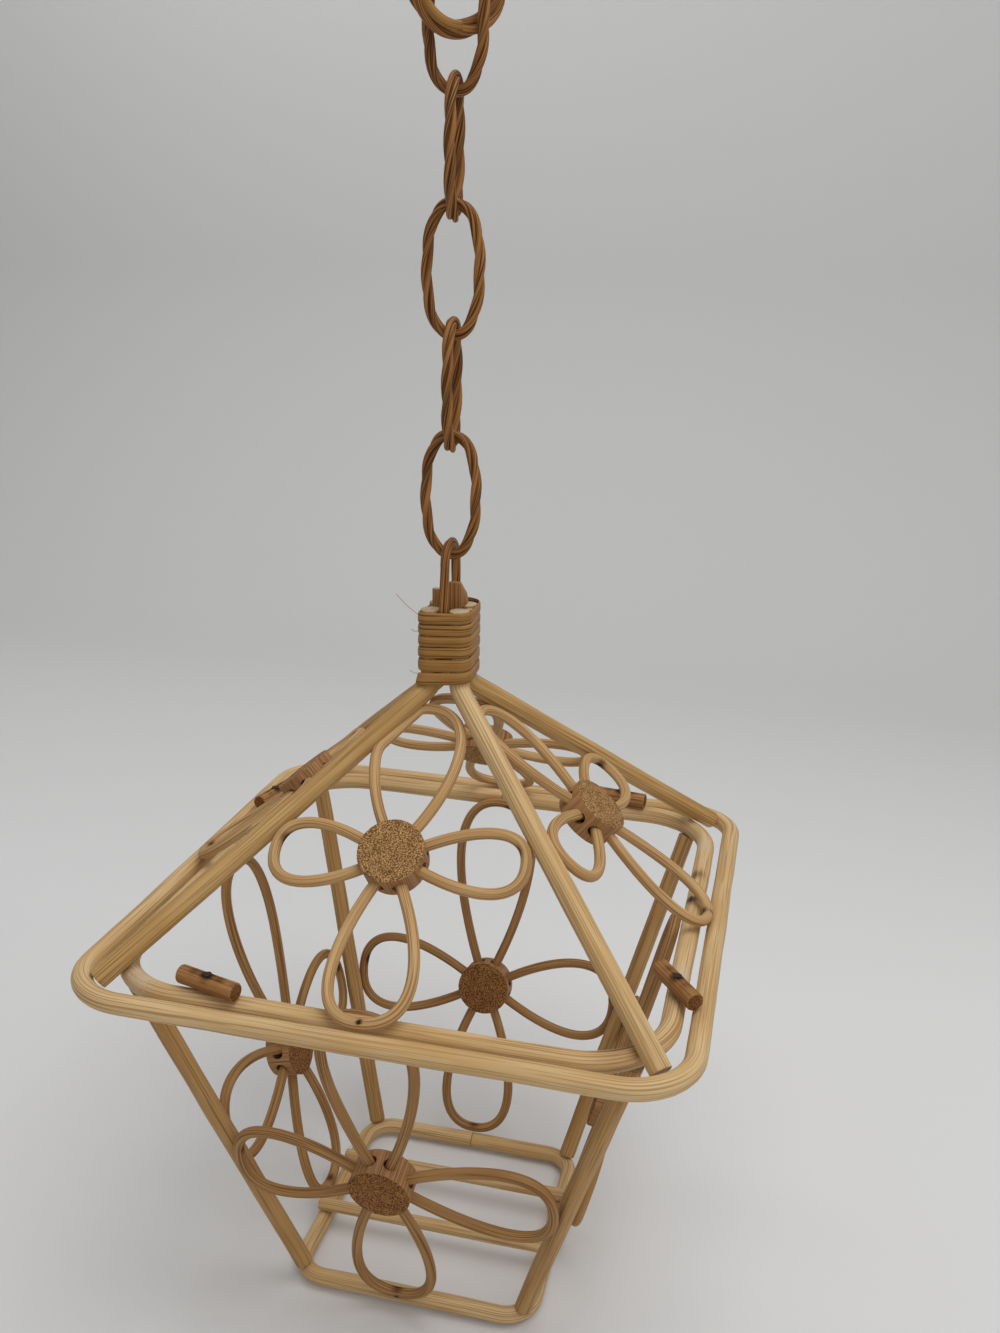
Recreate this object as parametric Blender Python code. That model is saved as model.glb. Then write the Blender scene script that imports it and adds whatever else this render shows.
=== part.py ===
"""Hanging rattan planter: a chain of twisted rattan links, a four-ribbed roof and a tapered basket."""

import math
from collections import namedtuple

import bmesh
import bpy
from mathutils import Matrix, Vector

# Lengths are in metres, +Z is up, and the origin is where the hook bears inside the top link.

# Clearances
SEAT_GAP = 0.0003
OVERRUN = 0.002
END_GAP = 0.0005

# Chain of five links and the slack ring over the first
LINK_COUNT = 5
LINK_ROD = 0.00275
LINK_HALF_LENGTH = 0.0293
LINK_HALF_WIDTH = 0.01275
LINK_OVAL_POWER = 2.35
LINK_TWISTS = 1
STRAND_LOBES = 3
LOBE_DEPTH_SHARE = 0.16
RING_RADIUS = 0.01775
RING_ROD = 0.00425
RING_TWISTS = 1
RING_TURN = math.radians(40)

# Hanging loop, an upturned U of the same strands
LOOP_ROD = 0.0025
LOOP_STAND = 0.0305
LOOP_BURIED = 0.024

# Top bundle and its cane binding
BUNDLE_SPACING = 0.0074
CANE_TURNS = 6
CANE_WIDTH = 0.0055
CANE_THICKNESS = 0.0011
CANE_TURN_GAP = 0.0006
CANE_CROWN = 0.0003
RIB_HEAD = 0.0012
FILLER_ROD = 0.0025
FILLER_HEAD = 0.0045
FILLER_BURIED = 0.030
WEDGE_THICKNESS = 0.0038
WEDGE_WIDTH = 0.0125
WEDGE_TOP_WIDTH = 0.0055
WEDGE_TOE_WIDTH = 0.0050
WEDGE_HEAD = 0.0080
WEDGE_BURIED = 0.026
WEDGE_SHOULDER = 0.0016

# Roof
RIB_ROD = 0.0052
RIB_BEND = 0.0058
RIB_END_SPACE = 0.0011
ROOF_RISE = 0.1225
EAVE_HALF = 0.145
EAVE_ROD = 0.005
EAVE_CORNER = 0.030

# Basket; its rim lies inside the eave ring, a step in from it
RIM_INSET = 0.013
RIM_ROD = 0.005
RIM_CORNER = 0.040
POST_ROD = 0.0048
BASKET_DEPTH = 0.211
BASE_HALF = 0.066
BASE_ROD = 0.0045
BASE_CORNER = 0.016
BAR_ROD = 0.0035
BAR_SPACING = 0.044
BAR_OVERHANG = 0.003

# Flowers
HUB_RADIUS = 0.0162
HUB_THICKNESS = 0.015
HUB_EDGE = 0.0008
PETAL_ROD = 0.0028
PETAL_CORE_RADIUS = 0.0100
PETAL_CORE_HALF = 0.0031
PETAL_SPREAD = math.radians(22)
ROOF_PETAL_HALF_WIDTHS = (0.0175, 0.0220, 0.0175, 0.0220)
BASKET_PETAL_HALF_WIDTHS = (0.0270, 0.0270, 0.0270, 0.0240)
ROOF_HUB_RISE_SHARE = 0.475
BASKET_HUB_RISE_SHARE = 0.441
BASE_TIP_ANGLE = math.radians(45)
ROOF_TOP_SPACE = 0.0035
ROOF_HUB_SLIDES = (-0.006, 0.0, 0.0, 0.0)
BASKET_HUB_SLIDES = (-0.005, 0.0, 0.0, 0.0)
LEG_PULL_SHARE = 0.55
TIP_FULLNESS_SHARE = 1.22

# Turn-buttons and their nails
BUTTON_ROD = 0.0042
BUTTON_LENGTH = 0.032
BUTTON_PLACE = 0.075
BUTTON_BEVEL = 0.0006
BUTTON_RESTS = (math.radians(-15), math.radians(36), math.radians(-8), math.radians(-12))
NAIL_SHANK = 0.0009
NAIL_HEAD = 0.0019
NAIL_HEAD_THICKNESS = 0.0007
NAIL_DEPTH = 0.006

# Facets
SHARP_ANGLE = math.radians(40)
SHARPEST_MITRE_SHARE = 0.5
ROUND_SIDES = 12
LINK_SIDES = 9
LINK_STATIONS = 24
RING_STATIONS = 28
PETAL_SIDES = 6
PETAL_STEPS = 12
HUB_SIDES = 20
HUB_LEG_POINTS = 3
CORE_SIDES = 8
CORNER_STEPS = 5
CANE_CORNER_STEPS = 4
BEND_STEPS = 4
LOOP_STEPS = 10
NAIL_SIDES = 10

# Sides of the square, counted anticlockwise from above, starting at the front (-Y)
SIDES = ("front", "right", "back", "left")
CORNERS = ("front_left", "front_right", "back_right", "back_left")
QUARTER = math.pi / 2
QUARTER_SHARE = 0.25
DIAGONAL = math.sqrt(2)

RIGHT = Vector((1, 0, 0))
BACK = Vector((0, 1, 0))
UP = Vector((0, 0, 1))

RIM_HALF = EAVE_HALF - RIM_INSET

# Heights, worked down from the hook point
LINK_PITCH = 2 * LINK_HALF_LENGTH - 2 * LINK_ROD - END_GAP
LINK_TOP = LINK_ROD
LAST_LINK_FOOT = LINK_TOP - 2 * LINK_HALF_LENGTH - (LINK_COUNT - 1) * LINK_PITCH
LOOP_TOP = LAST_LINK_FOOT + LINK_ROD + LOOP_ROD + END_GAP
CANE_PITCH = CANE_WIDTH + CANE_TURN_GAP
CANE_HEIGHT = CANE_TURNS * CANE_PITCH + CANE_WIDTH
CANE_TOP = LOOP_TOP + LOOP_ROD - LOOP_STAND
CANE_FOOT = CANE_TOP - CANE_HEIGHT
CREASE_Z = CANE_FOOT - SEAT_GAP
EAVE_Z = CREASE_Z - ROOF_RISE
BASE_Z = EAVE_Z - BASKET_DEPTH

# Finishes
Finish = namedtuple("Finish", "colour roughness metallic")
POLE = Finish((0.60, 0.38, 0.17), 0.6, 0.0)
STRAND = Finish((0.36, 0.17, 0.06), 0.6, 0.0)
CANE = Finish((0.40, 0.22, 0.09), 0.5, 0.0)
SAWN_HUB = Finish((0.38, 0.17, 0.06), 0.8, 0.0)
PETAL = Finish((0.52, 0.30, 0.12), 0.6, 0.0)
BUTTON = Finish((0.42, 0.20, 0.06), 0.7, 0.0)
NAIL = Finish((0.12, 0.11, 0.10), 0.4, 1.0)


def clear_scene():
    for old in list(bpy.data.objects):
        bpy.data.objects.remove(old, do_unlink=True)


def plain_material(name, finish):
    material = bpy.data.materials.new(name)
    material.use_nodes = True
    shader = material.node_tree.nodes["Principled BSDF"]
    shader.inputs["Base Color"].default_value = (*finish.colour, 1.0)
    shader.inputs["Roughness"].default_value = finish.roughness
    shader.inputs["Metallic"].default_value = finish.metallic
    return material


def add_object(name, mesh_data, finish):
    """Link a bmesh as an object that carries its own material."""
    mesh = bpy.data.meshes.new(name)
    mesh_data.normal_update()
    mesh_data.to_mesh(mesh)
    mesh_data.free()
    mesh.materials.append(plain_material(name, finish))
    mesh.shade_smooth()
    mesh.set_sharp_from_angle(angle=SHARP_ANGLE)
    piece = bpy.data.objects.new(name, mesh)
    bpy.context.scene.collection.objects.link(piece)
    return piece


def skin_rings(rings, closed):
    """Bridge a row of equal point rings into a tube, capped at both ends unless it is closed."""
    body = bmesh.new()
    rows = [[body.verts.new(point) for point in ring] for ring in rings]
    count = len(rows[0])
    pairs = list(zip(rows, rows[1:]))
    if closed:
        pairs.append((rows[-1], rows[0]))
    for low, high in pairs:
        for side in range(count):
            after = (side + 1) % count
            body.faces.new((low[side], low[after], high[after], high[side]))
    if not closed:
        body.faces.new(list(reversed(rows[0])))
        body.faces.new(rows[-1])
    bmesh.ops.recalc_face_normals(body, faces=body.faces[:])
    return body


def path_frames(points, closed):
    """Tangent at each point and the mitre stretch that keeps a bent tube at full width."""
    frames = []
    last = len(points) - 1
    for index, point in enumerate(points):
        before = points[index - 1] if index > 0 or closed else None
        after = points[(index + 1) % len(points)] if index < last or closed else None
        into = (point - before).normalized() if before is not None else None
        out = (after - point).normalized() if after is not None else None
        if into is None:
            into = out
        if out is None:
            out = into
        tangent = (into + out).normalized()
        frames.append((tangent, 1 / max(into.dot(tangent), SHARPEST_MITRE_SHARE)))
    return frames


def circle(centre, first, second, radius, sides):
    """Points of a circle in the plane of two unit vectors, with a flat across the first."""
    points = []
    for side in range(sides):
        angle = 2 * math.pi * (side + 0.5) / sides
        points.append(centre + radius * (math.cos(angle) * first + math.sin(angle) * second))
    return points


def tube_rings(points, normal, closed, radius, sides):
    """Rings of a round tube along a path that lies in the plane square to normal."""
    rings = []
    for point, (tangent, stretch) in zip(points, path_frames(points, closed)):
        across = tangent.cross(normal).normalized()
        rings.append(circle(point, stretch * across, normal, radius, sides))
    return rings


def twisted_rings(points, normal, closed, radius, sides, twists, lobe_share):
    """Rings of a rod of twisted strands: lobes that turn along the path.

    lobe_share gives the depth of the lobes at each point, as a share of the radius.
    """
    rings = []
    count = len(points) if closed else len(points) - 1
    for index, (point, (tangent, stretch)) in enumerate(zip(points, path_frames(points, closed))):
        across = tangent.cross(normal).normalized()
        turned = 2 * math.pi * twists * index / count
        depth = lobe_share(index / count)
        ring = []
        for side in range(sides):
            angle = 2 * math.pi * side / sides
            reach = radius * (1 - depth * (1 - math.cos(STRAND_LOBES * angle)) / 2)
            lie = angle + turned
            ring.append(point + reach * (math.cos(lie) * stretch * across + math.sin(lie) * normal))
        rings.append(ring)
    return rings


def subtract(piece, cutter_body):
    """Cut closed shapes from a piece."""
    combine(piece, cutter_body, "DIFFERENCE")


def unite(piece, added_body):
    """Join closed shapes to a piece as one solid."""
    combine(piece, added_body, "UNION")


def combine(piece, tool_body, operation):
    """Add a Boolean whose tool is a hidden object that follows the piece."""
    number = len(piece.modifiers) + 1
    tool = add_object(f"{piece.name}_tool_{number}", tool_body, POLE)
    tool.hide_render = True
    tool.display_type = "WIRE"
    tool.parent = piece
    modifier = piece.modifiers.new(f"{operation.lower()}_{number}", "BOOLEAN")
    modifier.operation = operation
    modifier.solver = "EXACT"
    modifier.object = tool


def rounded_square(half, corner, steps, height=0.0):
    """Points round a square with arc corners, anticlockwise from above."""
    points = []
    for quarter in range(4):
        turn = quarter * QUARTER
        centre = Matrix.Rotation(turn, 3, "Z") @ Vector((half - corner, half - corner, 0))
        for step in range(steps + 1):
            angle = turn + QUARTER * step / steps
            points.append(centre + corner * Vector((math.cos(angle), math.sin(angle), 0)) + height * UP)
    return points


def corner_diagonal(half, corner):
    """Distance from the axis to the middle of a rounded square's corner arc."""
    return DIAGONAL * (half - corner) + corner


def diagonal_direction(corner_index):
    """Level unit vector from the axis to a corner, front left first."""
    angle = math.radians(225) + corner_index * QUARTER
    return Vector((math.cos(angle), math.sin(angle), 0))


def side_matrix(side_index):
    """Turn that takes the front side (-Y) to the given side."""
    return Matrix.Rotation(side_index * QUARTER, 4, "Z")


# Chain

def oval_points(count):
    """Closed oval in the XZ plane, long along Z, flatter than an ellipse at its bows."""
    points = []
    power = 2 / LINK_OVAL_POWER
    for index in range(count):
        angle = 2 * math.pi * index / count
        across = math.copysign(abs(math.cos(angle)) ** power, math.cos(angle))
        along = math.copysign(abs(math.sin(angle)) ** power, math.sin(angle))
        points.append(Vector((LINK_HALF_WIDTH * across, 0, LINK_HALF_LENGTH * along)))
    return points


def leg_lobes(travel):
    """Lobes are deep on a link's legs and fade to nothing on its bows, where links bear."""
    return LOBE_DEPTH_SHARE * math.cos(2 * math.pi * travel) ** 2


def make_link(number):
    """One link; odd links lie in the XZ plane and even ones in the YZ plane."""
    rings = twisted_rings(oval_points(LINK_STATIONS), BACK, True, LINK_ROD, LINK_SIDES,
                          LINK_TWISTS, leg_lobes)
    link = add_object(f"chain_link_{number}", skin_rings(rings, True), STRAND)
    pivot_height = LINK_TOP - (number - 1) * LINK_PITCH
    below_pivot = 0.0
    if number > 1:
        # The hinge is the middle of the rod that the link hangs on.
        below_pivot = 2 * LINK_ROD + END_GAP
        pivot_height -= below_pivot
    turn = Matrix.Rotation(QUARTER * ((number - 1) % 2), 4, "Z")
    link.data.transform(turn @ Matrix.Translation((0, 0, below_pivot - LINK_HALF_LENGTH)))
    link.location = (0, 0, pivot_height)
    return link


def ring_lobes(travel):
    """Lobes fade out at the top of the large ring, where it bears on the link."""
    return LOBE_DEPTH_SHARE * math.sin(math.pi * (travel - QUARTER_SHARE)) ** 2


def make_hanging_ring():
    """The large ring, lying slack over the bow of the first link."""
    points = []
    drop = LINK_ROD + RING_ROD + SEAT_GAP - RING_RADIUS
    for index in range(RING_STATIONS):
        angle = 2 * math.pi * index / RING_STATIONS
        points.append(RING_RADIUS * Vector((math.cos(angle), 0, math.sin(angle))) + drop * UP)
    rings = twisted_rings(points, BACK, True, RING_ROD, LINK_SIDES, RING_TWISTS, ring_lobes)
    ring = add_object("hanging_ring", skin_rings(rings, True), STRAND)
    ring.data.transform(Matrix.Rotation(RING_TURN, 4, "Z"))
    ring.location = (0, 0, LINK_TOP)
    return ring


# Top bundle

def nested_offset(rod):
    """How far from the axis a rod lies when it nests between two neighbouring ribs."""
    reach = RIB_ROD + rod + SEAT_GAP
    return BUNDLE_SPACING + math.sqrt(reach ** 2 - BUNDLE_SPACING ** 2)


def make_hanging_loop():
    """Upturned U whose legs nest between the ribs at the front and the back of the bundle."""
    leg = nested_offset(LOOP_ROD)
    foot = CANE_TOP - LOOP_BURIED
    heights = (foot, (foot + CANE_TOP) / 2, CANE_TOP)
    points = [Vector((0, -leg, height)) for height in heights]
    for step in range(LOOP_STEPS + 1):
        angle = math.pi * (1 - step / LOOP_STEPS)
        points.append(Vector((0, leg * math.cos(angle), LOOP_TOP - leg + leg * math.sin(angle))))
    points += [Vector((0, leg, height)) for height in reversed(heights)]
    rings = tube_rings(points, RIGHT, False, LOOP_ROD, ROUND_SIDES)
    return add_object("hanging_loop", skin_rings(rings, False), STRAND)


def make_filler(name, side, head):
    """A short stick that fills the gap between two ribs on the left or the right."""
    across = side * nested_offset(FILLER_ROD)
    points = [Vector((across, 0, CANE_TOP - FILLER_BURIED)), Vector((across, 0, CANE_TOP + head))]
    rings = tube_rings(points, BACK, False, FILLER_ROD, ROUND_SIDES)
    return add_object(name, skin_rings(rings, False), POLE)


def make_wedge():
    """Sawn wedge driven down between the four ribs."""
    outline = [
        (-WEDGE_TOE_WIDTH / 2, -WEDGE_BURIED),
        (WEDGE_TOE_WIDTH / 2, -WEDGE_BURIED),
        (WEDGE_WIDTH / 2, 0.0),
        (WEDGE_WIDTH / 2, WEDGE_SHOULDER),
        (WEDGE_TOP_WIDTH / 2, WEDGE_HEAD),
        (-WEDGE_TOP_WIDTH / 2, WEDGE_HEAD),
        (-WEDGE_WIDTH / 2, WEDGE_SHOULDER),
        (-WEDGE_WIDTH / 2, 0.0),
    ]
    rings = []
    for face in (-WEDGE_THICKNESS / 2, WEDGE_THICKNESS / 2):
        rings.append([Vector((across, face, CANE_TOP + rise)) for across, rise in outline])
    return add_object("bundle_wedge", skin_rings(rings, False), BUTTON)


def cane_inner_half():
    """Half the width of the bundle that the cane is drawn round."""
    widest = max(BUNDLE_SPACING + RIB_ROD, nested_offset(LOOP_ROD) + LOOP_ROD)
    return widest + SEAT_GAP


def make_cane_binding():
    """Flat cane wound round the bundle as one unbroken strip, and its least gap to itself."""
    half = cane_inner_half() + CANE_THICKNESS / 2
    turn_points = rounded_square(half, half - BUNDLE_SPACING, CANE_CORNER_STEPS)
    per_turn = len(turn_points)
    total = CANE_TURNS * per_turn
    low = -CANE_WIDTH / 2
    high = CANE_WIDTH / 2
    inner = -CANE_THICKNESS / 2
    outer = CANE_THICKNESS / 2
    shoulder = outer - CANE_CROWN
    section = ((inner, low), (inner, high), (shoulder, high), (outer, 0.0), (shoulder, low))
    rings = []
    for index in range(total + 1):
        point = turn_points[index % per_turn]
        before = turn_points[(index - 1) % per_turn]
        after = turn_points[(index + 1) % per_turn]
        into = (point - before).normalized()
        out = (after - point).normalized()
        tangent = (into + out).normalized()
        outward = tangent.cross(UP)
        stretch = 1 / into.dot(tangent)
        height = CANE_FOOT + CANE_WIDTH / 2 + CANE_PITCH * index / per_turn
        centre = point + height * UP
        rings.append([centre + stretch * out_step * outward + rise * UP for out_step, rise in section])
    least_gap = CANE_PITCH - CANE_WIDTH
    for index in range(total + 1 - per_turn):
        below = max(point.z for point in rings[index])
        above = min(point.z for point in rings[index + per_turn])
        least_gap = min(least_gap, above - below)
    print(f"cane binding: least gap between turns {least_gap * 1000:.2f} mm")
    return add_object("cane_binding", skin_rings(rings, False), CANE)


# Roof

def rib_line():
    """The rib's bend and its end, as distance along the diagonal and height over the eave.

    The rib slopes down from the bend below the binding, rests on the rim's corner and runs on
    until its end meets the inside of the eave ring.
    """
    bundle = DIAGONAL * BUNDLE_SPACING
    bend_centre = bundle + RIB_BEND
    rim = corner_diagonal(RIM_HALF, RIM_CORNER)
    eave = corner_diagonal(EAVE_HALF, EAVE_CORNER)
    away = bend_centre - rim
    seat = RIB_ROD + RIM_ROD + SEAT_GAP + RIB_BEND
    slope = math.atan2(away, ROOF_RISE) + math.acos(seat / math.hypot(away, ROOF_RISE))
    along = Vector((math.cos(slope), -math.sin(slope)))
    bend = []
    for step in range(BEND_STEPS + 1):
        angle = math.pi + (QUARTER - slope) * step / BEND_STEPS
        turned = Vector((math.cos(angle), math.sin(angle)))
        bend.append(Vector((bend_centre, ROOF_RISE)) + RIB_BEND * turned)
    run = (Vector((eave, 0)) - bend[-1]).dot(along) - EAVE_ROD - RIB_END_SPACE
    return bend, bend[-1] + run * along


def make_rib(corner_index):
    direction = diagonal_direction(corner_index)
    bend, end = rib_line()
    head = Vector((bend[0].x, CANE_TOP + RIB_HEAD - EAVE_Z))
    flat_points = [head] + bend + [end]
    points = [point.x * direction + (EAVE_Z + point.y) * UP for point in flat_points]
    rings = tube_rings(points, direction.cross(UP), False, RIB_ROD, ROUND_SIDES)
    return add_object(f"roof_rib_{CORNERS[corner_index]}", skin_rings(rings, False), POLE)


def make_square_ring(name, half, corner, rod, height):
    points = rounded_square(half, corner, CORNER_STEPS, height)
    rings = tube_rings(points, UP, True, rod, ROUND_SIDES)
    return add_object(name, skin_rings(rings, True), POLE)


# Basket

def post_ends():
    """Top and foot of a post's axis, as distance along the diagonal and height over the eave."""
    top = Vector((corner_diagonal(RIM_HALF, RIM_CORNER), 0))
    foot = Vector((corner_diagonal(BASE_HALF, BASE_CORNER), -BASKET_DEPTH))
    along = (foot - top).normalized()
    return top + (RIM_ROD + END_GAP) * along, foot - (BASE_ROD + END_GAP) * along


def make_post(corner_index):
    direction = diagonal_direction(corner_index)
    points = [flat.x * direction + (EAVE_Z + flat.y) * UP for flat in post_ends()]
    rings = tube_rings(points, direction.cross(UP), False, POST_ROD, ROUND_SIDES)
    return add_object(f"basket_post_{CORNERS[corner_index]}", skin_rings(rings, False), POLE)


def make_floor_bar(name, place):
    """A stick laid across the base ring from left to right, for the pot to stand on."""
    reach = BASE_HALF + BAR_OVERHANG
    height = BASE_Z + BASE_ROD + BAR_ROD + SEAT_GAP
    points = [Vector((-reach, place, height)), Vector((reach, place, height))]
    rings = tube_rings(points, UP, False, BAR_ROD, ROUND_SIDES)
    return add_object(name, skin_rings(rings, False), POLE)


def button_axis_height():
    """A button clears the higher of the two rings that it turns over."""
    return EAVE_Z + max(RIM_ROD, EAVE_ROD) + SEAT_GAP + BUTTON_ROD


def button_place(side_index):
    return side_matrix(side_index) @ Vector((-BUTTON_PLACE, -RIM_HALF, 0))


def round_bar(start, end, radius, sides):
    """A straight round bar as a bmesh."""
    axis = (end - start).normalized()
    normal = axis.orthogonal().normalized()
    return skin_rings(tube_rings([start, end], normal, False, radius, sides), False)


def make_rim():
    """Basket rim with a blind hole for each turn-button's nail."""
    rim = make_square_ring("basket_rim", RIM_HALF, RIM_CORNER, RIM_ROD, EAVE_Z)
    holes = []
    for side_index in range(len(SIDES)):
        top = button_place(side_index) + (EAVE_Z + RIM_ROD + OVERRUN) * UP
        bottom = button_place(side_index) + (EAVE_Z + RIM_ROD - NAIL_DEPTH - SEAT_GAP) * UP
        holes.append(round_bar(bottom, top, NAIL_SHANK + SEAT_GAP, NAIL_SIDES))
    subtract(rim, gather(holes))
    return rim


def make_button(side_index):
    """Short dowel with softened ends and a hole for its nail, origin on the nail's axis."""
    half = BUTTON_LENGTH / 2
    stations = (
        (-half, BUTTON_ROD - BUTTON_BEVEL),
        (-half + BUTTON_BEVEL, BUTTON_ROD),
        (half - BUTTON_BEVEL, BUTTON_ROD),
        (half, BUTTON_ROD - BUTTON_BEVEL),
    )
    rings = [circle(along * RIGHT, BACK, UP, radius, ROUND_SIDES) for along, radius in stations]
    button = add_object(f"turn_button_{SIDES[side_index]}", skin_rings(rings, False), BUTTON)
    reach = (BUTTON_ROD + OVERRUN) * UP
    subtract(button, round_bar(-reach, reach, NAIL_SHANK + SEAT_GAP, NAIL_SIDES))
    button.location = button_place(side_index) + button_axis_height() * UP
    button.rotation_euler = (0, 0, side_index * QUARTER + BUTTON_RESTS[side_index])
    return button


def make_nail(side_index):
    """Nail through a button into the rim."""
    head_foot = button_axis_height() + BUTTON_ROD + SEAT_GAP
    point = EAVE_Z + RIM_ROD - NAIL_DEPTH
    place = button_place(side_index)
    profile = (
        (point, NAIL_SHANK),
        (head_foot, NAIL_SHANK),
        (head_foot, NAIL_HEAD),
        (head_foot + NAIL_HEAD_THICKNESS, NAIL_HEAD),
    )
    rings = [circle(place + height * UP, RIGHT, BACK, radius, NAIL_SIDES) for height, radius in profile]
    return add_object(f"button_nail_{SIDES[side_index]}", skin_rings(rings, False), NAIL)


# Flowers

class FlowerSeat:
    """Plane of one flower on the front side, and the poles that its petal tips rest against.

    origin is the hub's centre, across runs to the right and rise runs up the face.
    """

    def __init__(self, origin, rise, supports):
        self.origin = origin
        self.across = RIGHT
        self.rise = rise
        self.face = self.across.cross(rise).normalized()
        self.supports = supports


def petal_outline(reach, half_width, steps):
    """One petal along +X: from the core out to the tip and back, as flat points.

    Each half is a cubic curve that leaves the hub at the spread angle and turns square at the tip.
    """
    start = PETAL_CORE_RADIUS - PETAL_ROD / 2
    pull = LEG_PULL_SHARE * reach
    controls = (
        Vector((start * math.cos(PETAL_SPREAD), start * math.sin(PETAL_SPREAD))),
        Vector((pull, half_width)),
        Vector((reach, TIP_FULLNESS_SHARE * half_width)),
        Vector((reach, 0)),
    )
    half = []
    for step in range(steps // 2 + 1):
        travel = 2 * step / steps
        rest = 1 - travel
        weights = (rest ** 3, 3 * rest ** 2 * travel, 3 * rest * travel ** 2, travel ** 3)
        point = Vector((0, 0))
        for weight, control in zip(weights, controls):
            point += weight * control
        half.append(point)
    mirrored = [Vector((point.x, -point.y)) for point in reversed(half[:-1])]
    return half + mirrored


def placed_petal(seat, turn, reach, half_width, steps=PETAL_STEPS):
    """Petal points in space, for a petal that points along turn in the flower's plane."""
    points = []
    for flat in petal_outline(reach, half_width, steps):
        level = flat.x * math.cos(turn) - flat.y * math.sin(turn)
        climb = flat.x * math.sin(turn) + flat.y * math.cos(turn)
        points.append(seat.origin + level * seat.across + climb * seat.rise)
    return points


def distance_to_line(point, start, end):
    along = end - start
    share = max(0.0, min(1.0, (point - start).dot(along) / along.length_squared))
    return (point - start - share * along).length


def petal_clears(seat, turn, reach, half_width):
    """True if a petal of this reach clears every pole by the seat gap."""
    for point in placed_petal(seat, turn, reach, half_width, 4 * PETAL_STEPS):
        for start, end, rod in seat.supports:
            if distance_to_line(point, start, end) < rod + PETAL_ROD + SEAT_GAP:
                return False
    return True


def seated_reach(seat, turn, half_width):
    """Reach at which a petal growing out of its hub first comes to rest on a pole."""
    reach = 2 * HUB_RADIUS
    step = PETAL_ROD / 2
    while step > SEAT_GAP / 4:
        while petal_clears(seat, turn, reach + step, half_width):
            reach += step
        step /= 2
    return reach


def front_point(out, height, across=0.0):
    """Point on the front side at a distance out from the axis, height measured over the eave."""
    return Vector((across, -out, EAVE_Z + height))


def corner_poles(top, low, rod):
    """The sloping poles at the left and the right of a face, whose ends lie on the diagonals."""
    top_out = top.x / DIAGONAL
    low_out = low.x / DIAGONAL
    return [
        (front_point(top_out, top.y, side * top_out), front_point(low_out, low.y, side * low_out), rod)
        for side in (-1, 1)
    ]


def rail(half, height, rod):
    """The front rail of a square ring, as a pole for a petal to rest on."""
    return front_point(half, height, -half), front_point(half, height, half), rod


def roof_seat(slide):
    """Flower in a roof face: its foot nestles on the two rings and its head lies between the ribs."""
    bend, end = rib_line()
    ring_gap = EAVE_HALF - RIM_HALF
    rim_reach = RIM_ROD + PETAL_ROD + SEAT_GAP
    eave_reach = EAVE_ROD + PETAL_ROD + SEAT_GAP
    inward = (eave_reach ** 2 - rim_reach ** 2 + ring_gap ** 2) / (2 * ring_gap)
    foot = front_point(EAVE_HALF - inward, math.sqrt(eave_reach ** 2 - inward ** 2))
    head = front_point(bend[-1].x / DIAGONAL, bend[-1].y - ROOF_TOP_SPACE)
    rise = (head - foot).normalized()
    origin = foot + ROOF_HUB_RISE_SHARE * (head - foot) + slide * RIGHT
    rings = [rail(RIM_HALF, 0, RIM_ROD), rail(EAVE_HALF, 0, EAVE_ROD)]
    return FlowerSeat(origin, rise, corner_poles(bend[-1], end, RIB_ROD) + rings)


def basket_seat(slide):
    """Flower in a basket side: its head is against the rim's inside and its foot on the base rail."""
    rim_reach = RIM_ROD + PETAL_ROD + SEAT_GAP
    base_reach = BASE_ROD + PETAL_ROD + SEAT_GAP
    head = front_point(RIM_HALF - rim_reach, 0)
    foot = front_point(BASE_HALF + base_reach * math.cos(BASE_TIP_ANGLE),
                       -BASKET_DEPTH + base_reach * math.sin(BASE_TIP_ANGLE))
    rise = (head - foot).normalized()
    origin = foot + BASKET_HUB_RISE_SHARE * (head - foot) + slide * RIGHT
    rings = [rail(RIM_HALF, 0, RIM_ROD), rail(BASE_HALF, -BASKET_DEPTH, BASE_ROD)]
    return FlowerSeat(origin, rise, corner_poles(*post_ends(), POST_ROD) + rings)


def disc(seat, radius, half_thickness, sides, edge=0.0):
    """Round block in the flower's plane, with its edges broken if edge is given."""
    profile = [(-half_thickness, radius - edge), (half_thickness, radius - edge)]
    if edge:
        profile[1:1] = [(edge - half_thickness, radius), (half_thickness - edge, radius)]
    rings = []
    for depth, width in profile:
        rings.append(circle(seat.origin + depth * seat.face, seat.across, seat.rise, width, sides))
    return skin_rings(rings, False)


def petal_paths(seat, half_widths):
    """The four petals' paths: right, top, left and foot, each as long as its seat allows."""
    paths = []
    for number, half_width in enumerate(half_widths):
        turn = number * QUARTER
        paths.append(placed_petal(seat, turn, seated_reach(seat, turn, half_width), half_width))
    return paths


def gather(bodies):
    """Put closed bmeshes that don't touch into one bmesh."""
    whole = bmesh.new()
    for body in bodies:
        copies = {vertex: whole.verts.new(vertex.co) for vertex in body.verts}
        for face in body.faces:
            whole.faces.new([copies[vertex] for vertex in face.verts])
        body.free()
    return whole


def leg_tubes(paths, seat, radius, count):
    """Open tubes along the first and the last count points of each petal."""
    tubes = []
    for path in paths:
        for leg in (path[:count], path[:-count - 1:-1]):
            tubes.append(skin_rings(tube_rings(leg, seat.face, False, radius, PETAL_SIDES), False))
    return tubes


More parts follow.
